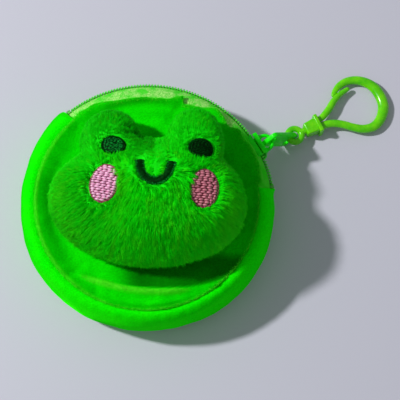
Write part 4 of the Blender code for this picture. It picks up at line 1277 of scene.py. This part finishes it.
def bump_crease(u, v):
    """Where a point of the face lies along the crease under the left bump, and how far it is from it, in mm."""
    return (u + 6.5) * 0.923 - (v - 25.0) * 0.385, (u + 6.5) * 0.385 + (v - 25.0) * 0.923


BETWEEN_BUMPS = 0.8
THREAD_PULL = 0.9 * MM
VALLEY_DEPTH = 0.8 * MM
CREASE_DEPTH = 1.3 * MM
to_face = HEAD_PLACE.inverted()
places = points_of(head_skin)
for place, normal in zip(places, normals_of(head_skin)):
    spot = to_face @ Vector(place) / MM
    if spot.z > 4:
        place -= normal * THREAD_PULL * pulled_down(spot.x, spot.y)
    place -= normal * VALLEY_DEPTH * bell(spot.x, BETWEEN_BUMPS, 1.6) * bell(spot.y, 22, 5.0)
    along, past = bump_crease(spot.x, spot.y)
    place -= normal * CREASE_DEPTH * exp(-((along / 5.5) ** 4)) * bell(past, 0, 1.5)
set_points(head_skin, places)
bare_points = [Vector(place) for place in places]
bare_skin = [tuple(face.vertices) for face in head_skin.data.polygons]
skin_tree = BVHTree.FromPolygons(bare_points, bare_skin)


def on_skin(u, v, above=0.0):
    """The place on the head's plush under a point of the face, and the way out of it."""
    over = HEAD_PLACE @ Vector((u * MM, v * MM, 60 * MM))
    place, normal, _, _ = skin_tree.ray_cast(over, Vector((0, 0, -1)))
    if normal.z < 0:
        normal = -normal
    return place + normal * above, normal


def plush_finish(name, dark, light):
    return mottled(name, 0.8, 0.15, (500, 3, (0.3, dark), (0.7, light)), (1600, 2, 0.4 * MM, 0.6))


filling = linked("head_filling", head_skin.data.copy())
finish_with(head_skin, "SOLIDIFY", thickness=PLUSH_BACKING, offset=-1.0)
head_skin.data.shade_smooth()
head_skin.data.materials.append(plush_finish("plush_backing", (0.0005, 0.70, 0.0), (0.002, 0.90, 0.001)))
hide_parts("head_plush")
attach(head_skin, "front")

# Head stuffing
# Loose polyester fibre that fills the head, packed firmly enough to hold its shape.
settle(filling, "head_filling")
edit(filling)
bpy.ops.mesh.select_non_manifold()
bpy.ops.mesh.edge_face_add()
leave_edit()
set_points(filling, points_of(filling) - normals_of(filling) * (PLUSH_BACKING + 0.5 * MM))
finish_with(filling, "SMOOTH", factor=0.5, iterations=3)
filling.data.shade_smooth()
filling.data.materials.append(plush_finish("stuffing_fibre", (0.62, 0.64, 0.62), (0.80, 0.80, 0.78)))
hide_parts("head_stuffing")
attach(filling, "front")

# Head pile
# Long soft fibres, brushed down below the face, out at the sides and up on the
# eye bumps, where they are shorter. Tufts of six share each root.
fibre = added(
    bpy.ops.mesh.primitive_cone_add,
    vertices=3, radius1=0.5, radius2=0.0, depth=1.0, location=(0.5, 0, 0), rotation=(0, pi / 2, 0),
)
bpy.ops.object.transform_apply(location=True, rotation=True)
cut_across(fibre, (1, 0, 0), (0.3, 0.65))
settle(fibre, "fibre")
hair = points_of(fibre)
for point in hair:
    full = (1 - point[0] ** 2.5) / max(1 - point[0], 0.05) if point[0] < 0.99 else 1.0
    point[1:] *= full
set_points(fibre, hair)
FIBRES = 6
FIBRE_WIDTH = 0.052
strands = Random(11)
tufts = []
for kind in range(4):
    spots = []
    for i in range(FIBRES):
        lean = Matrix.Rotation(strands.uniform(-0.08, 0.08), 4, "Z")
        lean = lean @ Matrix.Rotation(strands.uniform(-0.07, 0.07), 4, "Y")
        root = Matrix.Translation((strands.uniform(-0.10, 0.10), strands.uniform(-0.14, 0.14), 0))
        size = Matrix.Diagonal((strands.uniform(0.72, 1.06), FIBRE_WIDTH, FIBRE_WIDTH, 1))
        spots.append(root @ lean @ size)
    tuft = lay_copies(f"tuft_{kind}", fibre, spots)
    arched = points_of(tuft)
    for point in arched:
        share = max(0.0, min(1.0, point[0]))
        point[2] += 0.26 * sin(pi / 2 * share) ** 0.8 - 0.08 * share ** 3
    set_points(tuft, arched)
    tufts.append(tuft)


PARTING = 2.4


def pile_at(u, v, side):
    """The way the pile is brushed, and its length in mm, at a point of the face."""
    fade = step_between(v, 5, 15)
    down = atan2(-14.0 - 0.2 * max(0.0, 8 - v), 0.50 * (u - 3.0) + 0.018 * (u - 3.0) * abs(u - 3.0))
    left = u < BETWEEN_BUMPS
    bump_x, bump_y = (-17.4 if left else 17.4), 15.0
    parting = (-4.0 if u <= BETWEEN_BUMPS else 4.0) * bell(u, BETWEEN_BUMPS, 5)
    up = atan2(abs(v - bump_y) + 6.0, 0.6 * (u - bump_x) + parting)
    if u < PARTING:
        up -= 2 * pi
    heading = down + (up - down) * fade
    low_length = 6.4 + 0.8 * min(1.0, max(0.0, -v / 12)) - 2.6 * min(1.0, side)
    length = low_length * (1 - fade) + (3.6 + 0.3 * min(1.0, side)) * fade
    if ((u - SMILE_MIDDLE) / 5.0) ** 2 + ((v - SMILE_TOP) / 7.0) ** 2 < 1:
        length *= 0.5
    return Vector((cos(heading), sin(heading))), length


def around_thread(u, v, way, length):
    """The pile beside thread leans away from it and stands up, and none grows under it."""
    upright = 0.0
    threads = [(*patch_reach(u, v, patch), 0.97, min(patch[2], patch[3]) / 2, 2.4, 0.42) for patch in PATCHES]
    threads.append((*smile_reach(u, v), 0.98, SMILE_STROKE / 2, 1.8, 0.5))
    for reach, out, bare, half, spread, shorter in threads:
        if reach < bare:
            return way, 0.0, 0.0
        near = min(1.0, max(0.0, 1 - (reach - 1) * half / spread))
        if near:
            way = (way * (1 - 0.8 * near) + out.normalized() * near * 0.8).normalized()
            length *= 1 - shorter * near
            upright = max(upright, near)
    return way, length, upright


# Spots of painted shadow on the face: across and up, width and height in mm, and how likely a tuft there is painted
# dark
DARK_SPOTS = (
    (-9.0, 12.1, 3.0, 1.2, 0.4), (24.6, 11.2, 2.6, 1.4, 0.7), (15.6, 8.6, 1.6, 2.6, 0.6), (-3.5, 21.5, 4.0, 1.6, 0.35),
)
# Spots of painted highlight, where the pile is made yellower: across and up, width and height, in mm
LIME_SPOTS = (
    (29.0, 14.5, 3.5, 5.0), (31.0, -4.0, 4.5, 7.0), (-33.0, -2.0, 4.0, 10.0),
    (-27.0, -14.0, 5.0, 4.0), (-10.0, 5.0, 2.5, 6.0),
)


def in_shade(u, v):
    """How likely a tuft is to be painted dark, as painted shadow along the crease under the left bump and in the dark
    spots.
    """
    along, past = bump_crease(u, v)
    most = 0.9 * exp(-((along / 5.5) ** 4)) * bell(past, 0, 1.1)
    for across, up, width, height, share in DARK_SPOTS:
        most = max(most, share * bell(u, across, width) * bell(v, up, height))
    return most


# Tufts to the square millimetre, a tuft's width and thickness, and how deep its root is
PILE_DENSITY = 1.12
TUFT_WIDTH = 4.4
TUFT_THICKNESS = 3.5
ROOT_DEPTH = 0.35 * MM
BRIGHT_SHARE = 0.06
DARK_TUFT = 0.12
pile = Random(5)
groups = {"left": [], "right": [], "chin": [], "left_bump": [], "right_bump": []}
for face in bare_skin:
    ring = [bare_points[corner] for corner in face]
    if len(ring) > 3:
        normal = (ring[2] - ring[0]).cross(ring[-1] - ring[1])
    else:
        normal = (ring[1] - ring[0]).cross(ring[2] - ring[0])
    area = normal.length / 2
    if area < 1e-9:
        continue
    normal.normalize()
    wanted = area / (MM * MM) * PILE_DENSITY
    for _ in range(int(wanted) + (pile.random() < wanted % 1)):
        first, second = pile.random(), pile.random()
        low_side = ring[0].lerp(ring[1], first)
        high_side = ring[-1].lerp(ring[2 if len(ring) > 3 else 1], first)
        place = low_side.lerp(high_side, second)
        spot = to_face @ place / MM
        side = 1 - abs(normal.z)
        way, length = pile_at(spot.x, spot.y, side)
        upright = 0.0
        if spot.z > 3:
            way, length, upright = around_thread(spot.x, spot.y, way, length)
        if length == 0:
            continue
        brushed = HEAD_PLACE.to_3x3() @ Vector((way.x, way.y, -0.35 - 0.6 * side))
        brushed += Vector([noise.noise(place / (9 * MM) + Vector((3 * i, i, 9))) for i in range(3)]) * 0.10
        along = brushed - normal * brushed.dot(normal)
        along = along.normalized() + normal * (0.08 + 0.20 * side + 0.07 * pile.uniform(-1, 1) + 0.75 * upright)
        length *= pile.uniform(0.8, 1.12) * (1 - 0.45 * step_between(-spot.z, 0.5, 3.5))
        thickness = TUFT_THICKNESS - 1.3 * step_between(spot.y, 8, 16)
        size = Matrix.Diagonal((length * MM, TUFT_WIDTH * MM, thickness * MM, 1))
        matrix = from_axes(along, normal.cross(along), place - normal * ROOT_DEPTH) @ size
        # Lower on the face, coherent streaks: darker ones are painted shade between the clumps, lighter ones a yellower
        # painted highlight.
        from_top = Vector((spot.x - 3, 26 - spot.y))
        streak = 1.4 * noise.noise(Vector((atan2(*from_top) * 60, from_top.length / 8, 1.3)))
        streak *= step_between(-spot.y, -10, -3)
        tone_and_highlight = 0.46 + 0.20 * ripple(place, 6 * MM, 2.0) + 0.18 * pile.uniform(-1, 1) + 0.4 * max(0.0, streak)
        tone_and_highlight += 0.5 * (pile.random() < BRIGHT_SHARE)
        for across, up, width, height in LIME_SPOTS:
            tone_and_highlight += 0.45 * bell(spot.x, across, width) * bell(spot.y, up, height)
        group = "chin" if spot.y < -13 else ("left" if spot.x < 0 else "right") + ("_bump" if spot.y > 9 else "")
        shade = 1 - 0.6 * max(0.0, -streak)
        # Tufts in the crease and the dark spots are painted dark, as painted shadow.
        if spot.z > 3 and pile.random() < in_shade(spot.x, spot.y):
            shade = DARK_TUFT
        # Painted shade: the left of the face and the eye bumps, the left bump most, are made darker.
        on_bump = (0.40 if spot.x < BETWEEN_BUMPS else 0.22) * step_between(spot.y, 10, 18)
        painted_light = 1 - max(0.34 * step_between(-spot.x, 4, 26), on_bump)
        groups[group].append((matrix, tone_and_highlight, pile.randrange(4), side, shade, painted_light))


def pile_finish(name):
    """Brighter towards the tips. Where the along value is cut down, for dark tufts and streaks, it is painted shade,
    darkest at the roots; the yellower mix is partly painted highlight; and a third value darkens the colour as painted
    shade.
    """
    material, tree, shader = finish_material(name, 0.55, 0.05, Sheen_Weight=1.0, Sheen_Tint=(0.01, 1.0, 0.005, 1.0))
    along, tone_and_highlight, painted_light = (add_attribute(tree, word) for word in ("along", "tone_and_highlight", "painted_light"))
    root = (0.0, (0.0, 0.06, 0.0))
    green = add_ramp(tree, along, [root, (0.15, (0.001, 0.88, 0.001)), (0.8, (0.004, 1.0, 0.002))])
    pale = add_ramp(tree, along, [root, (0.15, (0.01, 0.90, 0.002)), (0.8, (0.08, 1.0, 0.004))])
    brushed = add_mix(tree, add_ramp(tree, tone_and_highlight, [(0.5, grey(0.0)), (1.0, grey(1.0))]), green, pale)
    painted_light_value = add_ramp(tree, painted_light, [(0.0, grey(0.0)), (1.0, grey(1.0))])
    tree.links.new(add_mix(tree, 1.0, brushed, painted_light_value, "MULTIPLY"), shader.inputs["Base Color"])
    return material


plush_pile = pile_finish("plush_pile")
for group, rows in groups.items():
    clumps = []
    for kind, tuft in enumerate(tufts):
        chosen = [row for row in rows if row[2] == kind]
        matrices, tones_and_highlights, _, sides, shades, painted_lights = zip(*chosen)
        clump = lay_copies(f"clump_{kind}", tuft, matrices)
        # The along value, cut down by the painted shade of dark tufts and streaks.
        mark(clump, "along", np.outer(shades, 0.15 + 0.85 * np.clip(points_of(tuft)[:, 0], 0, 1)))
        # On the steep sides, away from the bumps, the pile is made yellower, as painted highlight.
        tones_and_highlights = np.array(tones_and_highlights) + (0.0 if "bump" in group else 0.3) * np.minimum(1.0, sides)
        mark(clump, "tone_and_highlight", np.repeat(np.clip(tones_and_highlights, 0, 1), len(tuft.data.vertices)))
        # The third value: painted shade on the left of the face and on the bumps.
        mark(clump, "painted_light", np.repeat(painted_lights, len(tuft.data.vertices)))
        clumps.append(clump)
    head_pile = joined(clumps)
    head_pile.name = f"head_pile_{group}"
    head_pile.data.name = head_pile.name
    head_pile.data.materials.clear()
    head_pile.data.materials.append(plush_pile)
    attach(head_pile, "front")
for tuft in tufts:
    bpy.data.objects.remove(tuft)

# Velour edges
# Where the velour is turned in at its seams, along the zip and over the slack
# fold, its short pile stands out as a thin pale fuzz.
FUZZ_HAIRS = 6400
FUZZ_WIDTH = 0.11 * MM
spots = []
strays = Random(21)
for i in range(FUZZ_HAIRS):
    angle = strays.uniform(0, 2 * pi)
    zipped = over_zip(angle)
    if i % 8 == 0:
        x = strays.uniform(-26, 14)
        y = fold_line(x) + strays.gauss(0, 0.7)
        angle, radius = atan2(y, x), sqrt(x * x + y * y) * MM
    else:
        radius = FRONT_RADIUS + hem_reach(angle) - abs(strays.gauss(0, 0.5)) * MM * (1 + zipped) - 0.1 * MM
    outward = round_at(angle)
    place, normal, _, _ = front_top.ray_cast(outward * radius + Vector((0, 0, 60 * MM)), Vector((0, 0, -1)))
    if place is None:
        continue
    sideways = Vector((-sin(angle), cos(angle), 0.0)) * strays.uniform(-0.8, 0.8)
    along = outward * strays.uniform(0.1, 1.0) + sideways + Vector((0, 0, strays.uniform(0.2, 0.9)))
    size = Matrix.Diagonal((strays.uniform(0.4, 0.9) * MM, FUZZ_WIDTH, FUZZ_WIDTH, 1))
    spots.append(from_axes(along, Vector((0.3, 0.2, 1)), place) @ size)
fuzz = lay_copies("velour_fuzz", fibre, spots)
material, tree, shader = finish_material("velour_tips", 0.7, 0.1)
tips = grain(tree, 900, 2, (0.35, (0.006, 0.95, 0.001)), (0.65, (0.14, 1.0, 0.03)))
tree.links.new(tips, shader.inputs["Base Color"])
fuzz.data.materials.append(material)
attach(fuzz, "front")
bpy.data.objects.remove(fibre)

# Eyes
# Two ovals of dark green embroidery: rows of thread over a padded ground, with
# short stitches set all round the edge.


def face_axes(u, v, heading, above):
    """A place on the head with X along a heading of the face and Z out of the plush."""
    place, normal = on_skin(u, v, above)
    along = HEAD_PLACE.to_3x3() @ Vector((cos(heading), sin(heading), 0))
    along = (along - normal * along.dot(normal)).normalized()
    return from_axes(along, normal.cross(along), place)


def in_patch(patch, x, y):
    """A point of the face from its place in a patch, in mm from the patch's middle."""
    across, up, _, _, lean = patch
    return across + x * cos(lean) - y * sin(lean), up + x * sin(lean) + y * cos(lean)


def patch_ground(name, patch, rise, material):
    """Padding under a patch's thread, a little smaller than the patch and highest in its middle."""
    ground = spun_disc(name, [share / 8 for share in range(9)], 40)
    places = points_of(ground)
    for place in places:
        x, y = place[0] * patch[2] / 2 * 0.97, place[1] * patch[3] / 2 * 0.97
        share = place[0] ** 2 + place[1] ** 2
        spot, _ = on_skin(*in_patch(patch, x, y), above=(0.25 + rise * (1 - share)) * MM)
        place[:] = spot
    set_points(ground, places)
    finish_with(ground, "SOLIDIFY", thickness=0.4 * MM, offset=-1.0)
    ground.data.shade_smooth()
    ground.data.materials.append(material)
    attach(ground, "front")


def patch_rows(patch, pitch, run, rise, margin, seed, loose):
    """Rows of stitches across a patch, each row set half a stitch on from the last, or anyhow where they're loose."""
    chance = Random(seed)
    width, height, lean = patch[2], patch[3], patch[4]
    spots = []
    rows = int((height - 2 * margin) / pitch)
    for row in range(rows):
        y = (row - (rows - 1) / 2) * pitch
        half = (width / 2 - margin) * sqrt(max(0.0, 1 - (2 * y / (height - 0.6)) ** 2))
        x = -half + (chance.random() if loose > 0.1 else 0.5 if row % 2 else 1.0) * run * 0.5
        while x < half:
            first, last = max(-half, x - run * 0.56), min(half, x + run * 0.56)
            if last - first > run * 0.3:
                middle = (first + last) / 2
                share = (2 * middle / width) ** 2 + (2 * y / height) ** 2
                u, v = in_patch(patch, middle, y + chance.uniform(-loose, loose))
                above = (0.45 + rise * (1 - share)) * MM
                stretch = ((last - first) / run, chance.uniform(0.9, 1.08), chance.uniform(0.85, 1.1), 1)
                heading = lean + chance.uniform(-loose, loose)
                spots.append(face_axes(u, v, heading, above) @ Matrix.Diagonal(stretch))
            x += run * (1 + chance.uniform(-loose, loose))
    return spots


def patch_ring(patch, pitch, inset, seed):
    """Short stitches that point outwards, all round a patch's edge."""
    chance = Random(seed)
    around = pi * (patch[2] + patch[3]) / 2
    count = round(around / pitch)
    spots = []
    for i in range(count):
        turn = 2 * pi * i / count
        x = (patch[2] / 2 - inset) * cos(turn)
        y = (patch[3] / 2 - inset) * sin(turn)
        u, v = in_patch(patch, x, y)
        heading = atan2(y * patch[2] / patch[3], x * patch[3] / patch[2]) + patch[4]
        size = Matrix.Diagonal((chance.uniform(0.85, 1.15), chance.uniform(0.9, 1.1), 1, 1))
        spots.append(face_axes(u, v, heading + chance.uniform(-0.08, 0.08), 0.42 * MM) @ size)
    return spots


eye_ground = thread_finish("eye_ground", (0.0, 0.010, 0.001), (0.001, 0.024, 0.003), gloss=0.05)
emerald_thread = thread_finish("emerald_thread", (0.0, 0.03, 0.002), (0.002, 0.34, 0.035), 1300.0, gloss=0.08)
deep_thread = thread_finish("deep_thread", (0.0, 0.010, 0.0005), (0.0, 0.06, 0.004), 1500.0, gloss=0.03)
eye_stitch = one_stitch("eye_stitch", length=1.25 * MM, width=0.40 * MM, height=0.34 * MM)
# The right eye's rows take the darker deep green thread, as painted shade on the same thread as the left eye's.
for label, patch, thread in (("left", LEFT_EYE, emerald_thread), ("right", RIGHT_EYE, deep_thread)):
    patch_ground(f"{label}_eye_ground", patch, 0.35, eye_ground)
    edge = lay_copies(f"{label}_eye_edge", eye_stitch, patch_ring(patch, pitch=0.44, inset=0.65, seed=4))
    edge.data.materials.append(deep_thread)
    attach(edge, "front")
    rows = patch_rows(patch, pitch=0.36, run=1.2, rise=0.35, margin=1.2, seed=3, loose=0.3)
    eye = lay_copies(f"{label}_eye_thread", eye_stitch, rows)
    eye.data.materials.append(thread)
    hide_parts(f"{label}_eye")
    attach(eye, "front")

# Smile
# One line of satin stitch in the same dark green, sewn across the line.
smile_stitch = one_stitch("smile_stitch", length=SMILE_STROKE * MM, width=0.52 * MM, height=0.6 * MM)
chance = Random(8)
STITCHES = 58
EDGE_STITCHES = 84
spots = []
for i in range(STITCHES):
    middle, along = smile_point((i + 0.5) / STITCHES)
    heading = atan2(along.y, along.x) + pi / 2 + chance.uniform(-0.05, 0.05)
    slip = chance.uniform(-0.22, 0.22)
    size = Matrix.Diagonal((chance.uniform(0.90, 1.10), 1, chance.uniform(0.9, 1.1), 1))
    u = middle.x + slip * cos(heading)
    v = middle.y + slip * sin(heading)
    spots.append(face_axes(u, v, heading, 0.35 * MM) @ size)
smile = lay_copies("smile_thread", smile_stitch, spots)
smile.data.materials.append(deep_thread)
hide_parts("smile")
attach(smile, "front")
spots = []
for i in range(EDGE_STITCHES):
    middle, along = smile_point((i + chance.random()) / EDGE_STITCHES)
    heading = atan2(along.y, along.x) + pi / 2
    off = (SMILE_STROKE / 2 - 0.35 + chance.uniform(-0.25, 0.2)) * (-1 if i % 3 else 1)
    size = Matrix.Diagonal((chance.uniform(0.7, 1.15), 0.9, 0.9, 1))
    turned = heading + chance.uniform(-0.3, 0.3)
    spots.append(face_axes(middle.x + off * cos(heading), middle.y + off * sin(heading), turned, 0.55 * MM) @ size)
smile_edge = lay_copies("smile_edge", eye_stitch, spots)
smile_edge.data.materials.append(emerald_thread)
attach(smile_edge, "front")

# Cheeks
# Two ovals of thick pink thread in short rows, over a dark red ground that shows
# wherever a stitch goes down.
cheek_ground = thread_finish("cheek_ground", (0.06, 0.001, 0.008), (0.16, 0.006, 0.022))
cheek_edge = thread_finish("cheek_edge", (0.26, 0.01, 0.05), (0.62, 0.12, 0.26), 1500.0)
pink_thread = thread_finish("pink_thread", (0.78, 0.27, 0.48), (1.0, 0.58, 0.82), 1300.0, 0.5)
# The right cheek's thread is the same pink made darker, as painted shade.
pink_thread_in_painted_shade = thread_finish("pink_thread_in_painted_shade", (0.42, 0.09, 0.15), (0.74, 0.27, 0.33), 1300.0)
cheek_stitch = one_stitch("cheek_stitch", length=2.2 * MM, width=1.04 * MM, height=0.5 * MM)
edge_stitch = one_stitch("edge_stitch", length=1.0 * MM, width=0.5 * MM, height=0.35 * MM)
for label, patch, thread in (("left", LEFT_CHEEK, pink_thread), ("right", RIGHT_CHEEK, pink_thread_in_painted_shade)):
    patch_ground(f"{label}_cheek_ground", patch, 0.55, cheek_ground)
    rows = patch_rows(patch, pitch=0.98, run=2.15, rise=0.55, margin=0.35, seed=6, loose=0.09)
    cheek = lay_copies(f"{label}_cheek_thread", cheek_stitch, rows)
    cheek.data.materials.append(thread)
    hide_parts(f"{label}_cheek")
    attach(cheek, "front")
    rim = lay_copies(f"{label}_cheek_edge", edge_stitch, patch_ring(patch, pitch=0.66, inset=0.15, seed=7))
    rim.data.materials.append(cheek_edge)
    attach(rim, "front")
for spare in (eye_stitch, smile_stitch, cheek_stitch, edge_stitch):
    bpy.data.objects.remove(spare)
